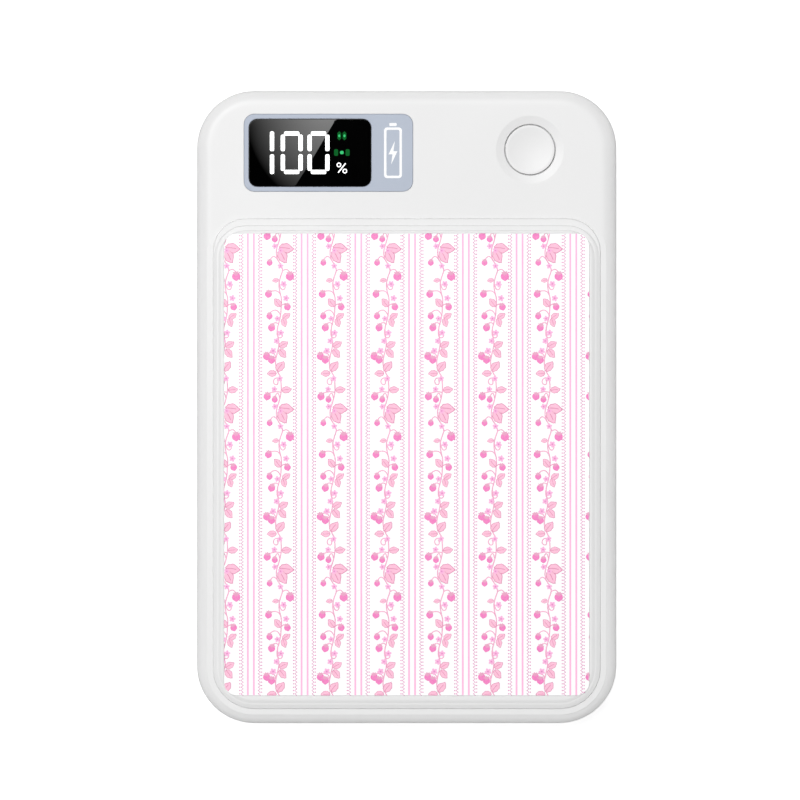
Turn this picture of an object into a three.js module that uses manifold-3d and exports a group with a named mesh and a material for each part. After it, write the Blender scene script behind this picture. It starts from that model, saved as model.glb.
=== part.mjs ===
// A pocket power bank with a magnetic charging back: two snapped shells around a pouch cell, one
// circuit board with a percentage display, a round push button and two sockets, and a coil with a
// ring of magnets behind the back wall. Millimetres. The case lies on its back: +Z out of the front
// face, +Y towards the display end, +X to the right of the display. The origin is at the centre of
// the back face.
import * as THREE from 'three';
import { mergeVertices } from 'three/addons/utils/BufferGeometryUtils.js';
import Module from 'manifold-3d';

const wasm = await Module();
wasm.setup();

// ---- driving dimensions: case ------------------------------------------------------------
const caseWidth = 68;
const caseLength = 102.5;
const deckHeight = 18.3; // back face to the flat deck around the display
const caseCorner = 9.3; // corner radius of the outline
const edgeRound = 2.6; // rounding of the front and back edges
const sideWall = 1.6;
const frontWall = 1.5;
const backWall = 1.3;
const seamGap = 0.15; // shadow gap between the two shells
const lipHeight = 1.2; // the back shell's lip, which snaps into the front shell
const fit = 0.1; // clearance between pieces that are glued, pressed or laid together
const slip = 0.15; // radial clearance between pieces that slide or are slid in

// ---- driving dimensions: raised panel bed and printed panel --------------------------------
const deckLength = 20.75; // case top edge to the foot of the raised bed
const bedSide = 2.65; // case side to the bed
const bedFoot = 2.45; // case foot edge to the bed
const bedTopCorner = 5.4;
const bedFootCorner = 6.6;
const ledgeWidth = 1.0; // flat ledge around the bed at deck height
// The three ridges up to the panel. Each starts this far inside the bed and leans back this much:
// apart from each other at the display end, and close enough to melt into a slope elsewhere.
const ridges = [
  { rise: 0.45, top: 0, topLean: 0.15, side: 0, sideLean: 0.15 },
  { rise: 0.25, top: 1.15, topLean: 0.15, side: 0.2, sideLean: 0.6 },
  { rise: 0.2, top: 1.95, topLean: 0.15, side: 0.85, sideLean: 0.6 },
];
const panelSide = 1.85; // bed to panel at the sides
const panelTop = 2.45; // bed to panel at the display end
const panelFoot = 2.2; // bed to panel at the foot
const panelCorner = 2.1;
const panelThickness = 0.8;
const panelProud = 0.1; // the panel stands this much above the last ridge
const adhesiveThickness = 0.15;

// ---- driving dimensions: display ------------------------------------------------------------
const surroundWidth = 27.3;
const surroundLength = 12.5;
const surroundCorner = 1.65;
const surroundSide = 7.7; // case side to the surround
const surroundTop = 3.9; // case top edge to the surround
const surroundThickness = 0.7;
const surroundProud = 0.05;
const windowWidth = 19.8;
const windowMargin = 0.77; // surround left of, above and below the window
const windowChamfer = 0.9;
const windowProud = 0.1;
const windowLedge = 0.5; // width of the seat around the light opening
const displayThickness = 3.7;
const displayFoam = 0.35; // light seal between the display and the front shell

// ---- driving dimensions: button ---------------------------------------------------------------
const buttonRadius = 4.0;
const buttonSide = 14.05; // case side to the button's axis
const buttonTop = 9.65; // case top edge to the button's axis
const dimpleRadius = 5.5;
const dimpleDepth = 0.5; // of the finger dimple, at the middle of the button
const flangeWidth = 1.0;
const flangeThickness = 0.8;
const flangeGap = 0.2; // flange to the inside of the front wall at rest
const stemRadius = 1.5;
const stemLength = 0.3;
const collarWall = 0.9;
const buttonTravel = 0.4;
const switchSize = 6.0;
const switchHeight = 2.4;
const plungerRadius = 1.7;
const plungerStand = 0.75; // how far the plunger stands out of the switch
const domeRadius = 2.2;
const domeRise = 0.6;

// ---- driving dimensions: board and sockets ----------------------------------------------------
const boardThickness = 1.0;
const boardLength = 17.7; // from the inside of the end wall
const boardScrewSide = 5.6; // case side to the outer screws
const boardScrewTop = 13.6; // case top edge to the outer screws
const screwHead = 1.7;
const screwShank = 0.7;
const bossRadius = 2.3;
const portOffset = 9.5; // case middle to the middle of each socket
const portRecess = 0.35; // socket mouth behind the end face
const wideSocket = { width: 13.1, height: 5.7, depth: 13, wall: 0.3, corner: 0.5 };
const slimSocket = { width: 8.94, height: 3.26, depth: 7.35, wall: 0.3, corner: 1.6 };
const wideTongue = { width: 11.1, thickness: 1.84, length: 8.1, lift: 1.0 };
const slimTongue = { width: 6.69, thickness: 0.7, length: 4.45, lift: 0 };
const tongueBase = 2.6; // moulded block that closes the rear of each socket

// ---- driving dimensions: battery and tray -----------------------------------------------------
const trayClearance = 0.4;
const trayWall = 0.8;
const trayFloor = 0.8;
const trayRim = 4.2; // height of the tray's walls above its floor
const foamThickness = 0.6; // cushion behind the cell
const frontFoam = 0.9; // cushion in front of it, which takes up the cell's swelling
const cellMargin = 1.4; // tray wall to the cell
const cellCorner = 2.0;
const cellRound = 1.0; // rounding of the pouch's folded edges
const terraceLength = 3.0; // sealed strip of the pouch that carries the tabs
const terraceThickness = 0.8;
const tabWidth = 4.0;
const leadRadius = 0.6;

// ---- driving dimensions: coil and magnets -----------------------------------------------------
const coilCentreY = -9.2;
const coilOuter = 21.5;
const coilInner = 9.8;
const coilThickness = 1.3;
const coilLeadRadius = 0.5;
const ferriteRadius = 22.7;
const ferriteThickness = 0.8;
const magnetInner = 23.2;
const magnetOuter = 27.2;
const magnetThickness = 1.6;
const magnetPlaces = 16; // one place, towards the board, stays empty for the coil's leads
const yokeThickness = 0.55;
const padInner = 22;
const padOuter = 28;
const padThickness = 0.45;
const ringRibWall = 0.8;
const postRadius = 1.7;

const roundSteps = 48; // facets of a full circle
const cornerSteps = 8; // facets of a large outline's corner
const smallSteps = 3; // facets of a small one's corner
const edgeSteps = 4; // facets of a rounded edge

// ---- places worked out from the dimensions ----------------------------------------------------
const caseEnd = caseLength / 2;
const deckInside = deckHeight - frontWall;
const innerRound = Math.max(edgeRound - sideWall, 0.5);
const caseOutline = box(-caseWidth / 2, caseWidth / 2, -caseEnd, caseEnd, caseCorner, caseCorner);
const cavityOutline = inset(caseOutline, sideWall);

const bedOutline = box(
  -caseWidth / 2 + bedSide,
  caseWidth / 2 - bedSide,
  -caseEnd + bedFoot,
  caseEnd - deckLength,
  bedFootCorner,
  bedTopCorner,
);
const bedHeight = ridges.reduce((height, ridge) => height + ridge.rise, deckHeight);
const panelOutline = box(
  bedOutline.left + panelSide,
  bedOutline.right - panelSide,
  bedOutline.foot + panelFoot,
  bedOutline.top - panelTop,
  panelCorner,
  panelCorner,
);
const panelFace = bedHeight + panelProud;
const panelBack = panelFace - panelThickness;
const panelSeat = panelBack - adhesiveThickness - 2 * fit;

const surroundLeft = -caseWidth / 2 + surroundSide;
const surroundOutline = box(
  surroundLeft,
  surroundLeft + surroundWidth,
  caseEnd - surroundTop - surroundLength,
  caseEnd - surroundTop,
  surroundCorner,
  surroundCorner,
);
const surroundFace = deckHeight + surroundProud;
const surroundSeat = surroundFace - surroundThickness - fit;
const windowOutline = box(
  surroundOutline.left + windowMargin,
  surroundOutline.left + windowMargin + windowWidth,
  surroundOutline.foot + windowMargin,
  surroundOutline.top - windowMargin,
  windowChamfer,
  windowChamfer,
);
const lightOutline = inset(windowOutline, windowLedge);
const windowFace = deckHeight + windowProud;

// The board hangs from the front wall at the height its switch and the button need, and the shells
// part at the middle of the sockets.
const flangeTop = deckInside - flangeGap;
const flangeBottom = flangeTop - flangeThickness;
const plungerTop = flangeBottom - stemLength - slip;
const switchTop = plungerTop - plungerStand;
const boardFront = switchTop - switchHeight - fit;
const boardBack = boardFront - boardThickness;
const seamHeight = boardBack - fit - slimSocket.height / 2;
const boardOutline = inset(cavityOutline, 0.5);
const boardFoot = cavityOutline.top - boardLength;
const buttonX = caseWidth / 2 - buttonSide;
const buttonY = caseEnd - buttonTop;
const dimpleSphere = (dimpleRadius ** 2 + dimpleDepth ** 2) / (2 * dimpleDepth);
const flangeRadius = buttonRadius + flangeWidth;

const screwX = caseWidth / 2 - boardScrewSide;
const screwY = caseEnd - boardScrewTop;
const boardScrews = [
  [-screwX, screwY],
  [screwX, screwY - 2],
  [0.8, boardFoot + bossRadius + 0.4],
];

const coilBack = backWall + 2 * fit;
const ferriteBack = coilBack + coilThickness + fit;
const yokeBack = coilBack + magnetThickness + fit;
const trayBack = Math.max(yokeBack + yokeThickness, ferriteBack + ferriteThickness) + slip;
const trayOutline = inset(
  box(
    cavityOutline.left,
    cavityOutline.right,
    cavityOutline.foot,
    boardFoot - 1.5,
    cavityOutline.footCorner,
    2.5,
  ),
  trayClearance,
);
const trayInside = inset(trayOutline, trayWall);
const cellOutline = box(
  trayInside.left + cellMargin,
  trayInside.right - cellMargin,
  trayInside.foot + cellMargin,
  trayInside.top - terraceLength + 1.0,
  cellCorner,
  cellCorner,
);
const foamBack = trayBack + trayFloor + fit;
const cellBack = foamBack + foamThickness + fit;
const cellFront = deckInside - fit - frontFoam - fit;
const terraceFoot = cellOutline.top;
const terraceBack = cellBack + (cellFront - cellBack) * 0.4;
const protectionBack = terraceBack + terraceThickness + 0.45;

// ---- solids ------------------------------------------------------------------------------------

// An outline with straight sides and round corners, one radius at each end.
function box(left, right, foot, top, footCorner, topCorner) {
  return { left, right, foot, top, footCorner, topCorner };
}

// The same outline moved inwards on every side, or outwards by a negative distance.
function inset(o, side, top = side, foot = side) {
  return box(
    o.left + side,
    o.right - side,
    o.foot + foot,
    o.top - top,
    Math.max(o.footCorner - side, 0.2),
    Math.max(o.topCorner - side, 0.2),
  );
}

// The outline's points, anticlockwise from the right side.
function pointsOf(o, steps = cornerSteps) {
  const corners = [
    [o.right - o.topCorner, o.top - o.topCorner, o.topCorner],
    [o.left + o.topCorner, o.top - o.topCorner, o.topCorner],
    [o.left + o.footCorner, o.foot + o.footCorner, o.footCorner],
    [o.right - o.footCorner, o.foot + o.footCorner, o.footCorner],
  ];
  return corners.flatMap(([x, y, radius], quarter) =>
    Array.from({ length: steps + 1 }, (_, i) => {
      const angle = ((quarter + i / steps) * Math.PI) / 2;
      return [x + radius * Math.cos(angle), y + radius * Math.sin(angle)];
    }),
  );
}

// A closed solid that runs through convex outlines, each at its own height, from the lowest up.
function stack(levels, steps = cornerSteps) {
  const rings = levels.map(({ outline, z }) => pointsOf(outline, steps).map(([x, y]) => [x, y, z]));
  const count = rings[0].length;
  const index = [];
  for (let level = 0; level + 1 < rings.length; level++) {
    for (let i = 0; i < count; i++) {
      const a = level * count + i;
      const b = level * count + ((i + 1) % count);
      index.push(a, b, b + count, a, b + count, a + count);
    }
  }
  const last = (rings.length - 1) * count;
  for (let i = 1; i + 1 < count; i++) {
    index.push(0, i + 1, i);
    index.push(last, last + i, last + i + 1);
  }
  const geometry = new THREE.BufferGeometry();
  geometry.setAttribute('position', new THREE.Float32BufferAttribute(rings.flat(2), 3));
  geometry.setIndex(index);
  return solid(geometry);
}

function prism(outline, low, high, steps = cornerSteps) {
  return stack([{ outline, z: low }, { outline, z: high }], steps);
}

// An outline's block whose two faces have rounded edges.
function pillow(outline, low, high, radius, steps = edgeSteps, corners = cornerSteps) {
  const turns = Array.from({ length: steps + 1 }, (_, i) => ((i / steps) * Math.PI) / 2);
  const back = turns.map((a) => ({
    outline: inset(outline, radius * (1 - Math.sin(a))),
    z: low + radius * (1 - Math.cos(a)),
  }));
  const front = turns.map((a) => ({
    outline: inset(outline, radius * (1 - Math.cos(a))),
    z: high - radius * (1 - Math.sin(a)),
  }));
  return stack([...back, ...front], corners);
}

function block(x0, x1, y0, y1, z0, z1) {
  const geometry = new THREE.BoxGeometry(x1 - x0, y1 - y0, z1 - z0);
  return solid(geometry.translate((x0 + x1) / 2, (y0 + y1) / 2, (z0 + z1) / 2));
}

// A solid of revolution about a line along Z. The profile is [radius, z] pairs that start on the
// axis at the bottom and end on it at the top.
function turned(profile, x, y, steps = roundSteps) {
  const points = profile.map(([radius, z]) => new THREE.Vector2(radius, z));
  const geometry = new THREE.LatheGeometry(points, steps);
  return solid(geometry.rotateX(Math.PI / 2).translate(x, y, 0));
}

function disc(radius, low, high, x, y, steps = roundSteps) {
  return turned([[0, low], [radius, low], [radius, high], [0, high]], x, y, steps);
}

function ring(inner, outer, low, high, x, y, steps = roundSteps) {
  const profile = [[inner, low], [outer, low], [outer, high], [inner, high], [inner, low]];
  return turned(profile, x, y, steps);
}

// Part of a flat ring, between two angles in radians, anticlockwise from +X.
function arcBlock(inner, outer, low, high, from, to, x, y, steps) {
  const shape = new THREE.Shape();
  shape.absarc(0, 0, outer, from, to, false);
  shape.absarc(0, 0, inner, to, from, true);
  const depth = high - low;
  const options = { depth, bevelEnabled: false, curveSegments: Math.ceil(steps / 2) };
  const geometry = new THREE.ExtrudeGeometry(shape, options);
  return solid(geometry.translate(x, y, low));
}

// A round wire along a smooth line through the points.
function wire(points, radius, steps = 10) {
  const path = new THREE.CatmullRomCurve3(points.map((p) => new THREE.Vector3(...p)));
  const section = new THREE.Shape().absarc(0, 0, radius, 0, 2 * Math.PI, false);
  const options = { extrudePath: path, steps, curveSegments: 3, bevelEnabled: false };
  return solid(new THREE.ExtrudeGeometry(section, options));
}

// The outline of a socket seen from its mouth, run along Y.
function tube(size, grow, x, z, y0, y1) {
  const halfWidth = size.width / 2 + grow;
  const halfHeight = size.height / 2 + grow;
  const corner = Math.min(size.corner + grow, halfHeight - 0.02);
  const outline = box(-halfWidth, halfWidth, -halfHeight, halfHeight, corner, corner);
  const shape = new THREE.Shape(pointsOf(outline, 4).map(([u, v]) => new THREE.Vector2(u, v)));
  const geometry = new THREE.ExtrudeGeometry(shape, { depth: y1 - y0, bevelEnabled: false });
  return solid(geometry.rotateX(Math.PI / 2).translate(x, y1, z));
}

function solid(geometry) {
  const bare = geometry.clone();
  bare.deleteAttribute('normal');
  bare.deleteAttribute('uv');
  const merged = mergeVertices(bare, 1e-5);
  const mesh = new wasm.Mesh({
    numProp: 3,
    vertProperties: new Float32Array(merged.attributes.position.array),
    triVerts: new Uint32Array(merged.index.array),
  });
  return new wasm.Manifold(mesh);
}

function join(first, ...others) {
  return others.reduce((whole, piece) => whole.add(piece), first);
}

function cut(first, ...others) {
  return others.reduce((whole, piece) => whole.subtract(piece), first);
}

function geometryOf(made) {
  const { vertProperties, triVerts } = made.getMesh();
  const geometry = new THREE.BufferGeometry();
  geometry.setAttribute('position', new THREE.BufferAttribute(new Float32Array(vertProperties), 3));
  geometry.setIndex(new THREE.BufferAttribute(new Uint32Array(triVerts), 1));
  geometry.computeVertexNormals();
  return geometry;
}

// ---- materials ---------------------------------------------------------------------------------
const finish = (color, roughness, metalness = 0) =>
  new THREE.MeshStandardMaterial({ color, roughness, metalness });
const materials = {
  shell: finish(0xececec, 0.38),
  print: finish(0xfdf6f9, 0.3),
  surround: finish(0xbac3d3, 0.42),
  window: finish(0x050506, 0.06),
  display: finish(0x2a2a2c, 0.6),
  foam: finish(0x222222, 0.95),
  adhesive: finish(0xd9d6c8, 0.7),
  board: finish(0x125c36, 0.45),
  steel: finish(0xb9bcc0, 0.3, 1),
  socketPlastic: finish(0x1b1b1d, 0.5),
  chip: finish(0x17181a, 0.55),
  ferrite: finish(0x3b3b3d, 0.8),
  copper: finish(0xb4622f, 0.35, 1),
  magnet: finish(0xc9ccd0, 0.22, 1),
  pouch: finish(0xc3c5c8, 0.32, 1),
  tray: finish(0xdedede, 0.55),
  redWire: finish(0xb51d1d, 0.5),
  blackWire: finish(0x141414, 0.5),
  pad: finish(0xe4e4e4, 0.75),
  capacitor: finish(0xa8875c, 0.5),
};

const powerBank = new THREE.Group();

function place(name, made, material) {
  const mesh = new THREE.Mesh(geometryOf(made), material);
  mesh.name = name;
  powerBank.add(mesh);
  return made;
}

// ---- sockets -----------------------------------------------------------------------------------
const mouth = caseEnd - portRecess;
const wideX = -portOffset;
const slimX = portOffset;

function socket(name, size, tongue, x) {
  const rear = mouth - size.depth;
  const shell = tube(size, 0, x, seamHeight, rear, mouth);
  const bore = tube(size, -size.wall, x, seamHeight, rear - 1, mouth + 1);
  place(`${name}_shell`, cut(shell, bore), materials.steel);
  const base = tube(size, -size.wall - fit, x, seamHeight, rear, rear + tongueBase);
  const z = seamHeight + tongue.lift;
  const blade = block(
    x - tongue.width / 2,
    x + tongue.width / 2,
    rear + tongueBase - 0.5,
    rear + tongueBase + tongue.length,
    z - tongue.thickness / 2,
    z + tongue.thickness / 2,
  );
  place(`${name}_tongue`, join(base, blade), materials.socketPlastic);
}

socket('usb_a', wideSocket, wideTongue, wideX);
socket('usb_c', slimSocket, slimTongue, slimX);
const socketCuts = [
  tube(wideSocket, slip, wideX, seamHeight, mouth - wideSocket.depth - slip, caseEnd + 1),
  tube(slimSocket, slip, slimX, seamHeight, mouth - slimSocket.depth - slip, caseEnd + 1),
];

// ---- front shell -------------------------------------------------------------------------------
const caseBody = pillow(caseOutline, 0, deckHeight, edgeRound);
const cavity = pillow(cavityOutline, backWall, deckInside, innerRound, 2);
const wide = caseLength * 2;

function frontShell() {
  const above = block(-wide, wide, -wide, wide, seamHeight + seamGap, wide);
  const ledge = prism(inset(bedOutline, -ledgeWidth), deckHeight - edgeRound / 2, deckHeight);
  const levels = [{ outline: bedOutline, z: deckHeight - edgeRound / 2 }];
  let height = deckHeight;
  for (const { rise, top, topLean, side, sideLean } of ridges) {
    levels.push({ outline: inset(bedOutline, side, top, side), z: height });
    height += rise;
    const crest = inset(bedOutline, side + sideLean, top + topLean, side + sideLean);
    levels.push({ outline: crest, z: height });
  }
  const outside = join(caseBody, ledge, stack(levels)).intersect(above);
  const rebate = prism(inset(caseOutline, sideWall / 2), seamHeight - 1, seamHeight + lipHeight + slip);
  const panelPocket = prism(inset(panelOutline, -fit), panelSeat, bedHeight + 1, smallSteps);
  const surroundPocket = prism(inset(surroundOutline, -fit), surroundSeat, deckHeight + 1, smallSteps);
  const lightHole = prism(lightOutline, deckInside - 1, surroundSeat + 1, 1);
  const buttonHole = disc(buttonRadius + slip, deckInside - 1, deckHeight + 1, buttonX, buttonY);
  const dimple = turned(
    [...dimpleProfile(0, dimpleRadius), [dimpleRadius, deckHeight + 1], [0, deckHeight + 1]],
    buttonX,
    buttonY,
  );
  let shell = cut(outside, cavity, rebate, panelPocket, surroundPocket, lightHole, dimple, buttonHole);

  // The collar keeps the button square, and the bosses hold the board.
  const collarInner = flangeRadius + slip;
  const collarFoot = flangeBottom - buttonTravel - 0.6;
  const root = deckInside + frontWall / 3;
  const collar = ring(collarInner, collarInner + collarWall, collarFoot, root, buttonX, buttonY);
  shell = join(shell, collar);
  for (const [x, y] of boardScrews) {
    const boss = disc(bossRadius, boardFront + fit, root, x, y, 24);
    const pilot = disc(screwShank + slip, boardFront, deckInside - 1, x, y, 12);
    shell = cut(join(shell, boss), pilot);
  }
  return cut(shell, ...socketCuts);
}

// Points of the dimple's round floor, outwards from one radius to another.
function dimpleProfile(from, to, steps = 4) {
  return Array.from({ length: steps + 1 }, (_, i) => {
    const radius = from + ((to - from) * i) / steps;
    const rise = dimpleSphere - Math.sqrt(dimpleSphere ** 2 - radius ** 2);
    return [radius, deckHeight - dimpleDepth + rise];
  });
}

place('front_housing', frontShell(), materials.shell);

// ---- back shell --------------------------------------------------------------------------------
function backShell() {
  const below = block(-wide, wide, -wide, wide, -wide, seamHeight);
  const groove = ring(padInner - fit, padOuter + fit, -1, padThickness + fit / 2, 0, coilCentreY);
  let shell = cut(caseBody.intersect(below), cavity, groove);
  const lipOutside = prism(inset(caseOutline, sideWall / 2 + fit), seamHeight - 2, seamHeight + lipHeight);
  const lipInside = prism(cavityOutline, seamHeight - 3, seamHeight + lipHeight + 1);
  shell = join(shell, cut(lipOutside, lipInside));

  // An open ring of ribs centres the magnets, and four posts carry the tray.
  const ribInner = magnetOuter + 2 * fit;
  const gap = Math.PI / magnetPlaces;
  const ribRing = arcBlock(
    ribInner,
    ribInner + ringRibWall,
    backWall / 2,
    yokeBack + yokeThickness - fit,
    Math.PI / 2 + gap,
    Math.PI * 2.5 - gap,
    0,
    coilCentreY,
    roundSteps,
  );
  shell = join(shell, ribRing);
  const postX = cavityOutline.right - postRadius - 2;
  for (const x of [-postX, postX]) {
    for (const y of [trayOutline.foot + 10, trayOutline.top - 6]) {
      shell = join(shell, disc(postRadius, backWall / 2, trayBack - fit, x, y, 16));
    }
  }
  return cut(shell, ...socketCuts);
}

place('back_housing', backShell(), materials.shell);
place('back_pad', ring(padInner, padOuter, 0, padThickness, 0, coilCentreY), materials.pad);

// ---- printed panel -----------------------------------------------------------------------------
const panelBevel = 0.15;
const panel = stack(
  [
    { outline: panelOutline, z: panelBack },
    { outline: panelOutline, z: panelFace - panelBevel },
    { outline: inset(panelOutline, panelBevel), z: panelFace },
  ],
  smallSteps,
);
place('front_panel', panel, materials.print);
const tape = prism(inset(panelOutline, 1), panelSeat + fit, panelSeat + fit + adhesiveThickness, 2);
place('panel_adhesive', tape, materials.adhesive);

// ---- display -----------------------------------------------------------------------------------
const windowHole = prism(inset(windowOutline, -fit), surroundSeat, surroundFace + 1, 1);
const surround = cut(prism(surroundOutline, surroundSeat + fit, surroundFace, smallSteps), windowHole);
place('display_surround', surround, materials.surround);
const lens = stack(
  [
    { outline: windowOutline, z: surroundSeat + fit },
    { outline: windowOutline, z: windowFace - 0.1 },
    { outline: inset(windowOutline, 0.1), z: windowFace },
  ],
  1,
);
place('display_window', lens, materials.window);
const displayOutline = inset(windowOutline, 0.4);
const displayTop = deckInside - fit - displayFoam - fit;
const displayBack = Math.max(displayTop - displayThickness, boardFront + fit);
const displayBody = prism(displayOutline, displayBack, displayTop, 1);
const digitWells = [0, 1, 2].map((digit) => {
  const pitch = (displayOutline.right - displayOutline.left) / 4;
  const x = displayOutline.left + pitch * (digit + 1);
  const y = (displayOutline.foot + displayOutline.top) / 2;
  return block(x - pitch * 0.35, x + pitch * 0.35, y - 3.4, y + 3.4, displayTop - 0.8, displayTop + 1);
});
place('display_module', cut(displayBody, ...digitWells), materials.display);
const sealHole = prism(inset(displayOutline, 0.8), displayTop, deckInside, 1);
const seal = cut(prism(displayOutline, displayTop + fit, displayTop + fit + displayFoam, 1), sealHole);
place('display_seal', seal, materials.foam);

// ---- button and switch -------------------------------------------------------------------------
const capProfile = [
  [0, plungerTop + slip],
  [stemRadius, plungerTop + slip],
  [stemRadius, flangeBottom],
  [flangeRadius, flangeBottom],
  [flangeRadius, flangeTop],
  [buttonRadius, flangeTop],
  ...dimpleProfile(0, buttonRadius, 3).reverse(),
];
place('button_cap', turned(capProfile, buttonX, buttonY), materials.shell);

const switchBack = boardFront + fit;
const half = switchSize / 2;
const frameThickness = 0.25;
const shoulder = 0.35; // keeps the plunger under the frame
const wellRadius = Math.max(domeRadius, plungerRadius + shoulder) + slip;
const bodyTop = switchTop - frameThickness - fit / 2;
const switchBlock = block(buttonX - half, buttonX + half, buttonY - half, buttonY + half, switchBack, bodyTop);
const well = disc(wellRadius, switchBack + 0.4, switchTop + 1, buttonX, buttonY, 24);
place('switch_body', cut(switchBlock, well), materials.chip);
const framePlate = block(
  buttonX - half,
  buttonX + half,
  buttonY - half,
  buttonY + half,
  switchTop - frameThickness,
  switchTop,
);
const frameHole = disc(plungerRadius + slip, switchBack, switchTop + 1, buttonX, buttonY, 24);
place('switch_frame', cut(framePlate, frameHole), materials.steel);
const domeFoot = switchBack + 0.4 + fit / 2;
const domeSkin = 0.12;
const dome = turned(
  [
    [0, domeFoot + domeRise - domeSkin],
    [domeRadius * 0.55, domeFoot + domeRise * 0.75 - domeSkin],
    [domeRadius - domeSkin, domeFoot],
    [domeRadius, domeFoot],
    [domeRadius * 0.6, domeFoot + domeRise * 0.75],
    [0, domeFoot + domeRise],
  ],
  buttonX,
  buttonY,
  24,
);
place('switch_dome', dome, materials.steel);
const plungerFoot = domeFoot + domeRise + fit;
const plungerStep = switchTop - frameThickness - fit;
const plunger = turned(
  [
    [0, plungerFoot],
    [plungerRadius + shoulder, plungerFoot],
    [plungerRadius + shoulder, plungerStep],
    [plungerRadius, plungerStep],
    [plungerRadius, plungerTop - 0.2],
    [plungerRadius - 0.2, plungerTop],
    [0, plungerTop],
  ],
  buttonX,
  buttonY,
  24,
);
place('switch_plunger', plunger, materials.blackWire);

// ---- circuit board -----------------------------------------------------------------------------
function mainBoard() {
  const outline = prism(boardOutline, boardBack, boardFront);
  let board = outline.intersect(block(-wide, wide, boardFoot, wide, -wide, wide));
  board = cut(board, ...socketCuts.slice(0, 1));
  for (const [x, y] of boardScrews) {
    board = cut(board, disc(screwShank + 2 * slip, boardBack - 1, boardFront + 1, x, y, 16));
  }
  return board;
}
place('main_board', mainBoard(), materials.board);

boardScrews.forEach(([x, y], i) => {
  const headTop = boardBack - fit / 2;
  const headHeight = 1.0;
  const tip = boardFront + 3.2;
  const body = turned(
    [
      [0, headTop - headHeight],
      [screwHead * 0.75, headTop - headHeight],
      [screwHead, headTop - headHeight * 0.6],
      [screwHead, headTop],
      [screwShank, headTop],
      [screwShank, tip - 0.8],
      [0, tip],
    ],
    x,
    y,
    16,
  );
  const slotLow = headTop - headHeight - 1;
  const slotHigh = headTop - headHeight * 0.5;
  const slotA = block(x - 1, x + 1, y - 0.18, y + 0.18, slotLow, slotHigh);
  const slotB = block(x - 0.18, x + 0.18, y - 1, y + 1, slotLow, slotHigh);
  place(`board_screw_${i + 1}`, cut(body, slotA, slotB), materials.steel);
});

// Components on the back of the board hang towards the back shell.
const inductorSize = 6.6;
const inductorX = slimX + slimSocket.width / 2 + 5.5;
const inductorY = boardFoot + inductorSize / 2 + 5.5;
const inductor = pillow(
  around(inductorX, inductorY, inductorSize, inductorSize, 1.2),
  boardBack - fit - 3.8,
  boardBack - fit,
  0.5,
  1,
  2,
);
place('power_inductor', inductor, materials.ferrite);
const backChip = boardBack - fit / 2;
const controllerX = wideX - wideSocket.width / 2 - 5;
const controller = prism(around(controllerX, boardFoot + 5, 5, 5, 0.2), backChip - 0.9, backChip, 1);
place('power_controller', controller, materials.chip);
const frontChip = boardFront + fit / 2;
const wirelessChip = prism(around(slimX - 6, boardFoot + 13, 4.4, 4.4, 0.2), frontChip, frontChip + 0.85, 1);
place('wireless_controller', wirelessChip, materials.chip);
for (const [i, y] of [boardFoot + 3.6, boardFoot + 8.2].entries()) {
  const can = pillow(around(slimX - 3.5, y, 5.2, 3.2, 0.3), frontChip, frontChip + 2.2, 0.25, 1, 1);
  place(`storage_capacitor_${i + 1}`, can, materials.capacitor);
}

function around(x, y, width, length, corner) {
  return box(x - width / 2, x + width / 2, y - length / 2, y + length / 2, corner, corner);
}

// ---- battery -----------------------------------------------------------------------------------
const trayBody = prism(trayOutline, trayBack, trayBack + trayFloor + trayRim);
const trayHollow = prism(trayInside, trayBack + trayFloor, trayBack + trayFloor + trayRim + 1);
const trayEnd = block(-wide, wide, trayInside.top - 0.5, wide, trayBack + trayFloor, wide);
place('battery_tray', cut(trayBody, trayHollow, trayEnd), materials.tray);

const cellBody = pillow(cellOutline, cellBack, cellFront, cellRound, 2, smallSteps);
const terraceInset = 3;
const terrace = block(
  cellOutline.left + terraceInset,
  cellOutline.right - terraceInset,
  terraceFoot - cellRound,
  terraceFoot + terraceLength,
  terraceBack,
  terraceBack + terraceThickness,
);
place('battery_cell', join(cellBody, terrace), materials.pouch);
const foamOutline = inset(cellOutline, 3);
place('battery_foam_back', prism(foamOutline, foamBack, foamBack + foamThickness, 2), materials.foam);
const foamFront = cellFront + fit;
place('battery_foam_front', prism(foamOutline, foamFront, foamFront + frontFoam, 2), materials.foam);

const protectionWidth = 30;
const protectionBoard = block(
  -protectionWidth / 2,
  protectionWidth / 2,
  terraceFoot + 0.3,
  terraceFoot + terraceLength - 0.1,
  protectionBack,
  protectionBack + 0.8,
);
place('protection_board', protectionBoard, materials.board);
const tabX = protectionWidth / 2 - 4;
const leadStartZ = protectionBack + 0.8 + fit + leadRadius;
const leadEndZ = boardFront + fit + leadRadius;
for (const [pole, side, material] of [
  ['positive', 1, materials.redWire],
  ['negative', -1, materials.blackWire],
]) {
  const x = side * tabX;
  const tab = block(
    x - tabWidth / 2,
    x + tabWidth / 2,
    terraceFoot + 0.4,
    terraceFoot + terraceLength - 0.2,
    terraceBack + terraceThickness + fit,
    protectionBack - fit,
  );
  place(`battery_tab_${pole}`, tab, materials.steel);
  const lead = wire(
    [
      [x, terraceFoot + 0.7, leadStartZ],
      [x, terraceFoot + terraceLength - 0.3, leadStartZ + 0.3],
      [x, boardFoot + 0.5, leadEndZ + 0.25],
      [x, boardFoot + 2.6, leadEndZ],
    ],
    leadRadius,
  );
  place(`battery_lead_${pole}`, lead, material);
}

// ---- coil, shield and magnets ------------------------------------------------------------------
const coil = ring(coilInner, coilOuter, coilBack, coilBack + coilThickness, 0, coilCentreY);
place('charging_coil', coil, materials.copper);
const ferrite = disc(ferriteRadius, ferriteBack, ferriteBack + ferriteThickness, 0, coilCentreY);
place('ferrite_shield', ferrite, materials.ferrite);

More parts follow.
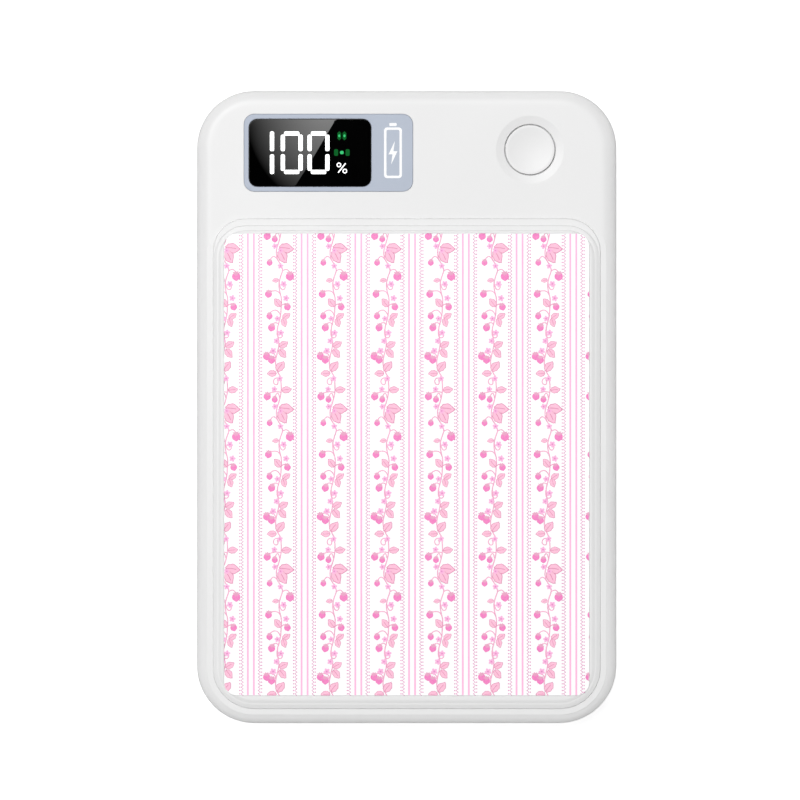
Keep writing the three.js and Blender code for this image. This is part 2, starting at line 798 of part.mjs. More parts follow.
const leadZ = coilBack + coilLeadRadius + 0.15;
for (const [end, side] of [['inner', -1], ['outer', 1]]) {
  const x = side * 1.6;
  const lead = wire(
    [
      [x, coilCentreY + coilOuter + 0.2, leadZ],
      [x, coilCentreY + padOuter + 2, leadZ],
      [x + 5.4, boardFoot - 3.2, leadZ + 0.5],
      [x + 5.8, boardFoot + 0.6, leadZ + 3.2],
      [x + 5.8, boardFoot + 2.4, boardBack - 2.4],
      [x + 5.8, boardFoot + 2.5, boardBack - fit],
    ],
    coilLeadRadius,
    16,
  );
  place(`coil_lead_${end}`, lead, materials.copper);
}

const share = (2 * Math.PI) / magnetPlaces;
const openAngle = Math.PI / 2;
const magnetGap = 0.35 / magnetInner;
for (let i = 1; i < magnetPlaces; i++) {
  const middle = openAngle + i * share;
  const magnet = arcBlock(
    magnetInner,
    magnetOuter,
    coilBack,
    coilBack + magnetThickness,
    middle - share / 2 + magnetGap / 2,
    middle + share / 2 - magnetGap / 2,
    0,
    coilCentreY,
    4,
  );
  place(`magnet_${String(i).padStart(2, '0')}`, magnet, materials.magnet);
}
const yoke = arcBlock(
  magnetInner,
  magnetOuter,
  yokeBack,
  yokeBack + yokeThickness,
  openAngle + share / 2,
  openAngle + 2 * Math.PI - share / 2,
  0,
  coilCentreY,
  roundSteps,
);
place('magnet_yoke', yoke, materials.steel);

export default powerBank;
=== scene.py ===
import math
import bmesh
import bpy
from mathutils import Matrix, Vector


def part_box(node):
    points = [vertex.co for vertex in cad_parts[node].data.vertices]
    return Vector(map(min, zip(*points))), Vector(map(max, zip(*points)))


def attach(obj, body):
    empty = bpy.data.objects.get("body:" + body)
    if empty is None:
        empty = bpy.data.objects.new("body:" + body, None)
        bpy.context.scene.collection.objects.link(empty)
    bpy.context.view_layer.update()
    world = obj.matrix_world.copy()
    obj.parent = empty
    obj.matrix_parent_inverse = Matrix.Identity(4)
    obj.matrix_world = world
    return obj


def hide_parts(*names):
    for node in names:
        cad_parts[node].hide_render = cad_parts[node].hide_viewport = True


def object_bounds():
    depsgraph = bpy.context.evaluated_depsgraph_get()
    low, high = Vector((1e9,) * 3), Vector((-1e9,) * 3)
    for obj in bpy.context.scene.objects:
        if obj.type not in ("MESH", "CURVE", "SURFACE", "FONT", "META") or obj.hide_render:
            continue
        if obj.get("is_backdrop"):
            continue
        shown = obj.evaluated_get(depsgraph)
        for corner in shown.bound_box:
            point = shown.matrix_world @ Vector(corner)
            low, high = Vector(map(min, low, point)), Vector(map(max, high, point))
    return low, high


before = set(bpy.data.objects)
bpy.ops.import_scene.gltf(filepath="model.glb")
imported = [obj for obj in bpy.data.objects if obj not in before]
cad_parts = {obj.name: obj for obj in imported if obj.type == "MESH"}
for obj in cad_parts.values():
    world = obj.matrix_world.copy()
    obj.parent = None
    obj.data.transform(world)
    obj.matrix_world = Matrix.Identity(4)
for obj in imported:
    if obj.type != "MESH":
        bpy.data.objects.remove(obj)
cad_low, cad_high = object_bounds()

# ---- front shell ---------------------------------------------------------------------------
# The front half of the case: off-white ABS, moulded in one shot with a raised and ridged bed for
# the panel, pockets for the display and a dished hole for the button. Bosses and a collar stand
# on its inside, and its rim has a rebate for the back shell's lip.
MM = 0.001
CASE_CORNER = 9.3 * MM
EDGE_ROUND = 2.6 * MM
EDGE_FULLNESS = 2.6
EDGE_STEPS = 14
SIDE_WALL = 1.6 * MM
FRONT_WALL = 1.5 * MM
FIT = 0.1 * MM
HAIRLINE = 0.03 * MM
SLIP = 0.15 * MM
SURROUND_PROUD = 0.05 * MM
LIP_HEIGHT = 1.2 * MM
SEAM_BEVEL = 0.12 * MM
INNER_ROUND = 1.0 * MM
OVERSHOOT = 1 * MM
shell_low, shell_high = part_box("front_housing")
surround_low, surround_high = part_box("display_surround")
panel_low, panel_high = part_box("front_panel")
window_low, window_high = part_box("display_window")
cap_low, cap_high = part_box("button_cap")
DECK = surround_high.z - SURROUND_PROUD
DECK_INSIDE = DECK - FRONT_WALL


def alone(piece):
    """Leaves a piece alone in the selection, and active."""
    bpy.ops.object.select_all(action="DESELECT")
    piece.select_set(True)
    bpy.context.view_layer.objects.active = piece


def add_piece(name, add, **place):
    """Adds a primitive as a new piece, alone in the selection, with its place in its mesh."""
    bpy.ops.object.select_all(action="DESELECT")
    add(**place)
    piece = bpy.context.object
    piece.name = piece.data.name = name
    bpy.ops.object.transform_apply(location=True, rotation=True, scale=True)
    return piece


def edit(piece):
    """Enters edit mode with just this piece."""
    alone(piece)
    bpy.ops.object.mode_set(mode="EDIT")


def leave():
    """Goes back to object mode."""
    bpy.ops.object.mode_set(mode="OBJECT")


def pick(piece, kind, wanted):
    """In edit mode, selects just the vertices, edges or faces that pass a test."""
    bpy.ops.mesh.select_all(action="DESELECT")
    bpy.ops.mesh.select_mode(type=kind)
    mesh = bmesh.from_edit_mesh(piece.data)
    for thing in {"VERT": mesh.verts, "EDGE": mesh.edges, "FACE": mesh.faces}[kind]:
        if wanted(thing):
            thing.select_set(True)
    bmesh.update_edit_mesh(piece.data)


def plate(name, left, right, foot, top, z, corner, foot_corner=None, steps=14):
    """A flat outline with round corners, left in edit mode with its face selected."""
    middle = (foot + top) / 2
    place = ((left + right) / 2, middle, z)
    piece = add_piece(name, bpy.ops.mesh.primitive_plane_add, size=1, location=place)
    edit(piece)
    bpy.ops.transform.resize(value=(right - left, top - foot, 1), center_override=place)
    for end, radius in ((1, corner), (-1, foot_corner or corner)):
        pick(piece, "VERT", lambda v: (v.co.y - middle) * end > 0)
        bpy.ops.mesh.bevel(offset=radius, segments=steps, affect="VERTICES")
    bpy.ops.mesh.select_mode(type="FACE")
    bpy.ops.mesh.select_all(action="SELECT")
    return piece


def push(height):
    """Extrudes the selected face along Z."""
    bpy.ops.mesh.extrude_region_move(TRANSFORM_OT_translate={"value": (0, 0, height)})


def step_in(steps):
    """Insets the selected face again and again, each time this far in and this far out."""
    for inwards, outwards in steps:
        bpy.ops.mesh.inset(thickness=inwards, depth=outwards)


def round_over(radius, steps, fullness=2):
    """The insets of a rounded edge, from the side up to the flat; fuller than 2 is squarer."""
    turns = [math.pi / 2 * i / steps for i in range(steps + 1)]
    ins = [radius - radius * max(math.cos(a), 0) ** (2 / fullness) for a in turns]
    ups = [radius * math.sin(a) ** (2 / fullness) for a in turns]
    ins[-1] = radius
    return [(ins[i + 1] - ins[i], ups[i + 1] - ups[i]) for i in range(steps)]


def boolean(piece, operation, *tools):
    """Joins pieces to a piece, or cuts them out of it, and uses them up."""
    for tool in tools:
        alone(piece)
        bpy.ops.object.modifier_add(type="BOOLEAN")
        cut = piece.modifiers[-1]
        cut.operation = operation
        cut.solver = "EXACT"
        cut.object = tool
        bpy.ops.object.modifier_apply(modifier=cut.name)
        bpy.data.objects.remove(tool)


def smooth(piece, angle=34):
    """Smooth faces with sharp edges, and normals that keep the flats flat."""
    alone(piece)
    bpy.ops.object.shade_smooth_by_angle(angle=math.radians(angle))
    bpy.ops.object.modifier_add(type="WEIGHTED_NORMAL")
    piece.modifiers[-1].keep_sharp = True
    bpy.ops.object.modifier_apply(modifier=piece.modifiers[-1].name)


def case_block(name, inset, z):
    """The case's outline, this far inside it, ready to extrude."""
    corner = CASE_CORNER - inset
    left, right = shell_low.x + inset, shell_high.x - inset
    return plate(name, left, right, shell_low.y + inset, shell_high.y - inset, z, corner)


shell = case_block("front_shell", 0, shell_low.z)
push(DECK - EDGE_ROUND - shell_low.z)
step_in(round_over(EDGE_ROUND, EDGE_STEPS, EDGE_FULLNESS))
pick(shell, "EDGE", lambda e: all(abs(v.co.z - shell_low.z) < FIT for v in e.verts))
bpy.ops.mesh.bevel(offset=SEAM_BEVEL, segments=2)
leave()

# The bed rises in three ridges, apart at the display end and run together into a slope elsewhere.
BED_SIDE = 2.65 * MM
BED_FOOT = 2.45 * MM
BED_TOP = 20.75 * MM
BED_TOP_CORNER = 5.4 * MM
BED_FOOT_CORNER = 6.6 * MM
LEDGE = 1.0 * MM
LEDGE_ROUND = 0.06 * MM
RIDGES = (
    # rise, start and lean at the display end, start and lean at the sides, in millimetres
    (0.45, 0.0, 0.15, 0.0, 0.15),
    (0.25, 1.15, 0.15, 0.2, 0.6),
    (0.2, 1.95, 0.15, 0.95, 0.55),
)
# How far a ridge has leaned in and how far it has risen, step by step.
RIDGE_PROFILE = ((0.0, 0.0), (0.55, 0.68), (0.8, 0.9), (1.0, 0.98), (1.2, 1.0))
SMALLEST_STEP = 0.001
BED_AREA = 0.003
bed_left, bed_right = shell_low.x + BED_SIDE, shell_high.x - BED_SIDE
bed_foot, bed_top = shell_low.y + BED_FOOT, shell_high.y - BED_TOP
ledge = plate(
    "ledge", bed_left - LEDGE, bed_right + LEDGE, bed_foot - LEDGE, bed_top + LEDGE,
    DECK - EDGE_ROUND / 2, BED_TOP_CORNER + LEDGE, BED_FOOT_CORNER + LEDGE,
)
push(EDGE_ROUND / 2 - LEDGE_ROUND)
step_in(round_over(LEDGE_ROUND, 3))
leave()

bed = plate(
    "bed", bed_left, bed_right, bed_foot, bed_top,
    DECK - EDGE_ROUND / 2, BED_TOP_CORNER, BED_FOOT_CORNER,
)
push(EDGE_ROUND / 2)


def is_table(face):
    """The bed's wide top face."""
    return face.normal.z > 0.9 and face.calc_area() > BED_AREA


side_now = end_now = up_now = 0.0
ridge_foot = 0.0
for rise, end_start, end_lean, side_start, side_lean in RIDGES:
    for lean_share, rise_share in RIDGE_PROFILE:
        side = max(side_start + side_lean * lean_share, side_now)
        end = end_start + end_lean * lean_share
        up = ridge_foot + rise * rise_share
        if side - side_now > SMALLEST_STEP:
            step_in([((side - side_now) * MM, (up - up_now) * MM)])
            shift = (end - end_now) - (side - side_now)
            pick(bed, "VERT", lambda v: v.co.y > 0 and any(is_table(f) for f in v.link_faces))
            bpy.ops.transform.translate(value=(0, -shift * MM, 0))
            pick(bed, "FACE", is_table)
            side_now, end_now, up_now = side, end, up
    ridge_foot += rise
leave()
boolean(shell, "UNION", ledge, bed)

# Hollow, rebate, pockets, light opening, dish and hole.
cavity = case_block("cavity", SIDE_WALL, shell_low.z - SIDE_WALL)
push(DECK_INSIDE - INNER_ROUND - (shell_low.z - SIDE_WALL))
step_in(round_over(INNER_ROUND, 4))
leave()
rebate = case_block("rebate", SIDE_WALL / 2, shell_low.z - SIDE_WALL)
push(SIDE_WALL + LIP_HEIGHT)
leave()
PANEL_CORNER = 2.1 * MM
TAPE_ROOM = 0.35 * MM
PANEL_FLARE = 0.01 * MM
panel_seat = panel_low.z - TAPE_ROOM


def pocket(name, low, high, corner, seat, rim, rim_flare, steps=6):
    """The cutter for a pocket with round corners and a slightly broken rim."""
    cutter = plate(
        name, low.x - HAIRLINE, high.x + HAIRLINE, low.y - HAIRLINE, high.y + HAIRLINE, seat,
        corner + HAIRLINE, steps=steps,
    )
    push(rim - rim_flare - seat)
    push(2 * rim_flare)
    wide = 1 + 4 * rim_flare / (high.x - low.x)
    tall = 1 + 4 * rim_flare / (high.y - low.y)
    bpy.ops.transform.resize(value=(wide, tall, 1), center_override=(low + high) / 2)
    push(OVERSHOOT)
    leave()
    return cutter


panel_pocket = pocket(
    "panel_pocket", panel_low, panel_high, PANEL_CORNER, panel_seat, shell_high.z, PANEL_FLARE
)
SURROUND_CORNER = 1.65 * MM
SURROUND_FLARE = 0.05 * MM
surround_seat = surround_low.z - FIT
surround_pocket = pocket(
    "surround_pocket", surround_low, surround_high, SURROUND_CORNER, surround_seat, DECK,
    SURROUND_FLARE,
)
LIGHT_LEDGE = 0.5 * MM
LIGHT_CORNER = 0.4 * MM
light_hole = plate(
    "light_hole", window_low.x + LIGHT_LEDGE, window_high.x - LIGHT_LEDGE,
    window_low.y + LIGHT_LEDGE, window_high.y - LIGHT_LEDGE, DECK_INSIDE - OVERSHOOT,
    LIGHT_CORNER, steps=3,
)
push(FRONT_WALL + 2 * OVERSHOOT)
leave()

BUTTON_RADIUS = 4.0 * MM
HOLE_FLARE = 0.12 * MM
DISH_RADIUS = 5.5 * MM
DISH_DEPTH = 0.5 * MM
DISH_SPHERE = (DISH_RADIUS**2 + DISH_DEPTH**2) / (2 * DISH_DEPTH)
button_x = (cap_low.x + cap_high.x) / 2
button_y = (cap_low.y + cap_high.y) / 2


def disc(name, radius, z, steps=96, x=button_x, y=button_y):
    """A round face, about the button's axis if no other is given, left in edit mode and selected."""
    piece = add_piece(
        name, bpy.ops.mesh.primitive_circle_add, vertices=steps, radius=radius,
        fill_type="NGON", location=(x, y, z),
    )
    edit(piece)
    bpy.ops.mesh.select_mode(type="FACE")
    bpy.ops.mesh.select_all(action="SELECT")
    return piece


def dish_steps(start, steps):
    """The insets that hollow out the finger dish from this radius to its middle."""
    radii = [start * (1 - i / (steps + 0.5)) for i in range(steps + 1)]
    drops = [math.sqrt(DISH_SPHERE**2 - r**2) for r in radii]
    return [(a - b, d - c) for a, b, c, d in zip(radii, radii[1:], drops, drops[1:])]


dish = disc("dish", DISH_RADIUS, DECK)
push(OVERSHOOT)
pick(dish, "FACE", lambda f: f.normal.z < -0.5)
step_in(dish_steps(DISH_RADIUS, 9))
leave()
rim_at_hole = DECK - DISH_DEPTH + DISH_SPHERE - math.sqrt(DISH_SPHERE**2 - BUTTON_RADIUS**2)
hole = disc("hole", BUTTON_RADIUS + SLIP, DECK_INSIDE - OVERSHOOT)
push(rim_at_hole - HOLE_FLARE / 2 - (DECK_INSIDE - OVERSHOOT))
push(HOLE_FLARE)
grow = 1 + HOLE_FLARE / BUTTON_RADIUS
bpy.ops.transform.resize(value=(grow, grow, 1), center_override=(button_x, button_y, DECK))
push(OVERSHOOT)
leave()

# Openings for the two sockets, shared with the back shell.
SOCKET_CORNERS = {"usb_a_shell": 0.5 * MM, "usb_c_shell": 1.6 * MM}
FLARE_DEPTH = 0.4 * MM
FLARE_GROWTH = 0.7 * MM
ROUND_END_GAP = 0.02 * MM


def push_out(length):
    """Extrudes the selected face along Y."""
    bpy.ops.mesh.extrude_region_move(TRANSFORM_OT_translate={"value": (0, length, 0)})


def socket_block(name, node, grow, start, end):
    """A block with a socket's outline, grown by a clearance, that runs from start to end along Y."""
    low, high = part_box(node)
    width, height = high.x - low.x + 2 * grow, high.z - low.z + 2 * grow
    middle = Vector(((low.x + high.x) / 2, start, (low.z + high.z) / 2))
    turn = (math.radians(90), 0, 0)
    block = add_piece(name, bpy.ops.mesh.primitive_plane_add, size=1, location=middle, rotation=turn)
    edit(block)
    bpy.ops.transform.resize(value=(width, 1, height), center_override=middle)
    bpy.ops.mesh.select_mode(type="VERT")
    bpy.ops.mesh.select_all(action="SELECT")
    corner = min(SOCKET_CORNERS[node] + grow, height / 2 - ROUND_END_GAP)
    bpy.ops.mesh.bevel(offset=corner, segments=8, affect="VERTICES")
    bpy.ops.mesh.select_mode(type="FACE")
    bpy.ops.mesh.select_all(action="SELECT")
    push_out(end - start)
    bpy.ops.mesh.select_all(action="SELECT")
    bpy.ops.mesh.normals_make_consistent(inside=False)
    return block


def widen(node, growth):
    """Grows the selected face about a socket's axis, by this much of the socket's width and height."""
    low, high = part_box(node)
    wide, tall = 1 + growth / (high.x - low.x), 1 + growth / (high.z - low.z)
    bpy.ops.transform.resize(value=(wide, 1, tall), center_override=(low + high) / 2)


def socket_cuts():
    """Cutters for both socket openings, with the outer rim slightly flared."""
    cutters = []
    for node in SOCKET_CORNERS:
        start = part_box(node)[0].y - SLIP
        cutter = socket_block(node + "_cut", node, SLIP, start, cad_high.y - FLARE_DEPTH / 2)
        pick(cutter, "FACE", lambda f: f.normal.y > 0.9)
        push_out(FLARE_DEPTH)
        widen(node, FLARE_GROWTH)
        push_out(OVERSHOOT)
        leave()
        cutters.append(cutter)
    return cutters


boolean(shell, "DIFFERENCE", cavity, rebate, panel_pocket, surround_pocket, light_hole, dish, hole)

# The collar that keeps the button square, and the bosses that hold the board.
COLLAR_WALL = 0.9 * MM
COLLAR_REACH = 0.7 * MM
root = DECK_INSIDE + FRONT_WALL / 3
flange_radius = (cap_high.x - cap_low.x) / 2
collar = disc("collar", flange_radius + SLIP + COLLAR_WALL, cap_low.z - COLLAR_REACH, 64)
push(root - cap_low.z + COLLAR_REACH)
leave()
bore = disc("bore", flange_radius + SLIP, cap_low.z - 2 * OVERSHOOT, 64)
push(DECK_INSIDE - cap_low.z + 2 * OVERSHOOT)
leave()
boolean(collar, "DIFFERENCE", bore)
boolean(shell, "UNION", collar)
BOSS_RADIUS = 2.3 * MM
PILOT_RADIUS = 0.85 * MM
board_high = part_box("main_board")[1]
screws = [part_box(f"board_screw_{i}") for i in (1, 2, 3)]
for low, high in screws:
    for name, radius, foot, top in (
        ("boss", BOSS_RADIUS, board_high.z + FIT, root),
        ("pilot", PILOT_RADIUS, board_high.z, DECK_INSIDE - OVERSHOOT),
    ):
        post = disc(name, radius, foot, 32, (low.x + high.x) / 2, (low.y + high.y) / 2)
        push(top - foot)
        leave()
        boolean(shell, "UNION" if name == "boss" else "DIFFERENCE", post)
boolean(shell, "DIFFERENCE", *socket_cuts())
RIDGE_ANGLE = 9
smooth(shell, RIDGE_ANGLE)


def variation_group():
    """Slow and fine changes over a surface: a tone between two colours, a roughness and a height."""
    group = bpy.data.node_groups.new("surface_variation", "ShaderNodeTree")
    face = group.interface
    for name, kind, value in (
        ("Light Tone", "NodeSocketColor", (1, 1, 1, 1)),
        ("Dark Tone", "NodeSocketColor", (0.9, 0.9, 0.9, 1)),
        ("Patch Scale", "NodeSocketFloat", 40.0),
        ("Grain Scale", "NodeSocketFloat", 3000.0),
        ("Smoothest", "NodeSocketFloat", 0.3),
        ("Roughest", "NodeSocketFloat", 0.45),
    ):
        socket = face.new_socket(name, in_out="INPUT", socket_type=kind)
        socket.default_value = value
    face.new_socket("Colour", in_out="OUTPUT", socket_type="NodeSocketColor")
    face.new_socket("Roughness", in_out="OUTPUT", socket_type="NodeSocketFloat")
    face.new_socket("Height", in_out="OUTPUT", socket_type="NodeSocketFloat")
    nodes, links = group.nodes, group.links
    inputs, outputs = nodes.new("NodeGroupInput"), nodes.new("NodeGroupOutput")
    place = nodes.new("ShaderNodeTexCoord")
    patches, grain = nodes.new("ShaderNodeTexNoise"), nodes.new("ShaderNodeTexNoise")
    patches.inputs["Detail"].default_value = 4
    grain.inputs["Detail"].default_value = 2
    tone = nodes.new("ShaderNodeMix")
    tone.data_type = "RGBA"
    rough = nodes.new("ShaderNodeMapRange")
    rough.inputs["From Min"].default_value = 0.3
    rough.inputs["From Max"].default_value = 0.7
    links.new(place.outputs["Object"], patches.inputs["Vector"])
    links.new(place.outputs["Object"], grain.inputs["Vector"])
    links.new(inputs.outputs["Patch Scale"], patches.inputs["Scale"])
    links.new(inputs.outputs["Grain Scale"], grain.inputs["Scale"])
    links.new(patches.outputs["Fac"], tone.inputs["Factor"])
    links.new(inputs.outputs["Light Tone"], tone.inputs["A"])
    links.new(inputs.outputs["Dark Tone"], tone.inputs["B"])
    links.new(patches.outputs["Fac"], rough.inputs["Value"])
    links.new(inputs.outputs["Smoothest"], rough.inputs["To Min"])
    links.new(inputs.outputs["Roughest"], rough.inputs["To Max"])
    links.new(tone.outputs["Result"], outputs.inputs["Colour"])
    links.new(rough.outputs["Result"], outputs.inputs["Roughness"])
    links.new(grain.outputs["Fac"], outputs.inputs["Height"])
    return group


surface_variation = variation_group()


def linear(colour):
    """A colour given as hex digits, as the shader wants it."""
    parts = [int(colour[i : i + 2], 16) / 255 for i in (0, 2, 4)]
    return tuple(((c + 0.055) / 1.055) ** 2.4 if c > 0.04045 else c / 12.92 for c in parts) + (1,)


def finish(name, light, dark, patch, grain, smoothest, roughest, depth, metallic=0.0):
    """A material with the shared variation: tones, patch and grain sizes, roughness and relief."""
    material = bpy.data.materials.new(name)
    material.use_nodes = True
    nodes, links = material.node_tree.nodes, material.node_tree.links
    body = nodes["Principled BSDF"]
    body.inputs["Metallic"].default_value = metallic
    vary = nodes.new("ShaderNodeGroup")
    vary.name = "variation"
    vary.node_tree = surface_variation
    vary.inputs["Light Tone"].default_value = linear(light)
    vary.inputs["Dark Tone"].default_value = linear(dark)
    vary.inputs["Patch Scale"].default_value = patch
    vary.inputs["Grain Scale"].default_value = grain
    vary.inputs["Smoothest"].default_value = smoothest
    vary.inputs["Roughest"].default_value = roughest
    relief = nodes.new("ShaderNodeBump")
    relief.name = "relief"
    relief.inputs["Strength"].default_value = 1.0
    relief.inputs["Distance"].default_value = depth
    links.new(vary.outputs["Colour"], body.inputs["Base Color"])
    links.new(vary.outputs["Roughness"], body.inputs["Roughness"])
    links.new(vary.outputs["Height"], relief.inputs["Height"])
    links.new(relief.outputs["Normal"], body.inputs["Normal"])
    return material


def complete(piece, body, slot, *materials, nodes=()):
    """Gives a finished piece its materials and the body it moves with, and hides the nodes it stands for.
    """
    for material in materials:
        piece.data.materials.append(material)
    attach(piece, body)
    if nodes:
        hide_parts(*nodes)


shell_plastic = finish("shell_plastic", "e4e4e4", "e1e1e1", 30, 2600, 0.34, 0.42, 0.004 * MM)
complete(shell, "case", "shell", shell_plastic, nodes=["front_housing"])

# ---- button -----------------------------------------------------------------------------------
# A round cap of the same plastic, dished to the finger, with a flange that keeps it in the shell
# and a short stem that meets the switch.
FLANGE_TOP = cap_low.z + 1.1 * MM
STEM_LENGTH = 0.3 * MM
STEM_RADIUS = 1.5 * MM
CAP_ROUND = 0.12 * MM
button = disc("button", flange_radius, cap_low.z + STEM_LENGTH)
push(FLANGE_TOP - cap_low.z - STEM_LENGTH)
step_in([(flange_radius - BUTTON_RADIUS, 0)])
push(rim_at_hole - CAP_ROUND - FLANGE_TOP)
step_in(round_over(CAP_ROUND, 4))
step_in([(i, -o) for i, o in dish_steps(BUTTON_RADIUS - CAP_ROUND, 8)])
pick(button, "FACE", lambda f: f.normal.z < -0.5)
step_in([(flange_radius - STEM_RADIUS, 0)])
push(-STEM_LENGTH)
leave()
smooth(button)
complete(button, "power_button", "shell", shell_plastic, nodes=["button_cap"])

# ---- printed panel ------------------------------------------------------------------------------
# A thin white sheet taped into the bed's pocket. Its tape is a double-sided film on the seat.
INK = 0.03 * MM
panel = plate(
    "printed_panel", panel_low.x, panel_high.x, panel_low.y, panel_high.y, panel_low.z, PANEL_CORNER,
    steps=8,
)
PANEL_FACE = panel_high.z - INK
PANEL_EDGE = 0.02 * MM
push(PANEL_FACE - PANEL_EDGE - panel_low.z)
step_in(round_over(PANEL_EDGE, 3))
leave()
smooth(panel)
panel_white = finish("panel_white", "fdfdfd", "fafafb", 24, 4000, 0.3, 0.38, 0.001 * MM)
complete(panel, "case", "print", panel_white, nodes=["front_panel"])


def dress(material, *nodes):
    """Gives a finish to pieces whose shape comes with the frame."""
    for node in nodes:
        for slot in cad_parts[node].material_slots:
            slot.material = material


tape_film = finish("tape_film", "e9e6d8", "dedac8", 120, 2400, 0.4, 0.55, 0.01 * MM)
dress(tape_film, "panel_adhesive")

# ---- printed stripes and lace -----------------------------------------------------------------
# Pink ink in pairs of lines, with a dotted zigzag of lace on each side of a pair. Like the rest of
# the print it stands a few thousandths of a millimetre proud of the sheet and runs to its edges.
COLUMN = 8.68 * MM
FIRST_PAIR = 4.33 * MM
PAIRS = 7
LINE_GAP = 0.97 * MM
LINE_WIDTH = 0.29 * MM
LACE_LEFT, LACE_RIGHT = 1.41 * MM, 1.37 * MM
LACE_WIDTH = 0.135 * MM
LACE_SWING = 0.38 * MM
LACE_STEP = 0.27 * MM
LACE_DOT = 0.11 * MM
LACE_DOT_OUT = 0.38 * MM
STRIPE_CORNER = 0.02 * MM
PRINT_MARGIN = 0.06 * MM
INK_LINES = PANEL_FACE
INK_STEMS = PANEL_FACE + 0.0065 * MM
INK_LEAVES = PANEL_FACE + 0.012 * MM
INK_PETALS = PANEL_FACE + 0.0165 * MM
INK_BERRIES = PANEL_FACE + 0.0185 * MM
INK_NUDGE = 0.00015 * MM
INK_LAYER = 0.005 * MM


def ink_line(name, points, width, z, kind="POLY"):
    """A line of ink through points, as a flat mesh with a low ridge."""
    data = bpy.data.curves.new(name, "CURVE")
    data.dimensions = "3D"
    data.bevel_depth = width / 2
    data.bevel_resolution = 0
    data.resolution_u = 4
    data.use_fill_caps = True
    spline = data.splines.new(kind)
    spline.points.add(len(points) - 1)
    for knot, (x, y) in zip(spline.points, points):
        knot.co = (x, y, 0, 1)
    if kind == "NURBS":
        spline.order_u = 3
        spline.use_endpoint_u = True
    line = bpy.data.objects.new(name, data)
    bpy.context.scene.collection.objects.link(line)
    alone(line)
    bpy.ops.object.convert(target="MESH")
    bpy.ops.object.shade_flat()
    line = bpy.context.object
    line.scale = (1, 1, INK_LAYER / width)
    line.location = (0, 0, z + INK_LAYER / 2)
    bpy.ops.object.transform_apply(location=True, rotation=True, scale=True)
    return line


def join(name, pieces):
    """Joins pieces into the first one, which takes the name."""
    bpy.ops.object.select_all(action="DESELECT")
    for piece in pieces:
        piece.select_set(True)
    bpy.context.view_layer.objects.active = pieces[0]
    bpy.ops.object.join()
    pieces[0].name = pieces[0].data.name = name
    return pieces[0]


def copy(piece, x=0.0, y=0.0, z=0.0, turn=0.0, size=1.0):
    """A copy with its own mesh, turned and sized about the origin and then moved."""
    twin = piece.copy()
    twin.data = piece.data.copy()
    bpy.context.scene.collection.objects.link(twin)
    alone(twin)
    twin.scale = (size, size, 1)
    twin.rotation_euler = (0, 0, math.radians(turn))
    twin.location = (x, y, z)
    bpy.ops.object.transform_apply(location=True, rotation=True, scale=True)
    return twin


def repeat(piece, count, x=0.0, y=0.0):
    """Repeats a piece in a row."""
    alone(piece)
    bpy.ops.object.modifier_add(type="ARRAY")
    row = piece.modifiers[-1]
    row.count = count
    row.use_relative_offset = False
    row.use_constant_offset = True
    row.constant_offset_displace = (x, y, 0)
    bpy.ops.object.modifier_apply(modifier=row.name)


def trim_to_panel(piece):
    """Cuts the print off at the sheet's edges and round its corners."""
    middle_x = (panel_low.x + panel_high.x) / 2
    middle_y = (panel_low.y + panel_high.y) / 2
    corner = PANEL_CORNER - PRINT_MARGIN
    flat_x = (panel_high.x - panel_low.x) / 2 - PRINT_MARGIN - corner
    flat_y = (panel_high.y - panel_low.y) / 2 - PRINT_MARGIN - corner
    edit(piece)
    for turn in [0, 90, 180, 270] + [a + b for a in (22.5, 45, 67.5) for b in (0, 90, 180, 270)]:
        away = Vector((math.cos(math.radians(turn)), math.sin(math.radians(turn)), 0))
        knee = Vector((math.copysign(flat_x, away.x), math.copysign(flat_y, away.y), 0))
        place = Vector((middle_x, middle_y, 0)) + knee + away * corner
        bpy.ops.mesh.select_all(action="SELECT")
        bpy.ops.mesh.bisect(plane_co=place, plane_no=away, use_fill=True, clear_outer=True)
    leave()


def ink(name, light, dark, patch=260):
    """A print colour: satin ink with a fine screen grain."""
    return finish(name, light, dark, patch, 9000, 0.36, 0.44, 0.0006 * MM)


foot, top = panel_low.y - LACE_STEP, panel_high.y + LACE_STEP
zigzags = int((top - foot) / LACE_STEP) + 1
stripes = []
first = panel_low.x + FIRST_PAIR
for side in (-1, 1):
    x = first + side * LINE_GAP / 2
    stripe = plate(
        "stripe", x - LINE_WIDTH / 2, x + LINE_WIDTH / 2, foot, top, INK_LINES, STRIPE_CORNER, steps=1
    )
    push(INK_LAYER)
    leave()
    stripes.append(stripe)
stripes = join("printed_stripes", stripes)
repeat(stripes, PAIRS, x=COLUMN)
trim_to_panel(stripes)
complete(stripes, "case", "print", ink("stripe_pink", "fdb9de", "fbb0d8"))

lace = []
for side, x in ((-1, first - LACE_LEFT), (1, first + LACE_RIGHT)):
    swings = [(x + LACE_SWING * (i % 2 - 0.5), foot + LACE_STEP * i) for i in range(zigzags)]
    lace.append(ink_line("lace_line", swings, LACE_WIDTH, INK_LINES))
    dot_x = x + side * LACE_DOT_OUT
    dot = disc("lace_dot", LACE_DOT, INK_LINES, 5, dot_x, foot + LACE_STEP * (side + 1) / 2)
    push(INK_LAYER)
    leave()
    repeat(dot, zigzags // 2, y=2 * LACE_STEP)
    lace.append(dot)
lace = join("printed_lace", lace)
repeat(lace, PAIRS, x=COLUMN)
trim_to_panel(lace)
complete(lace, "case", "print", ink("lace_pink", "dc72b2", "d263a6"))

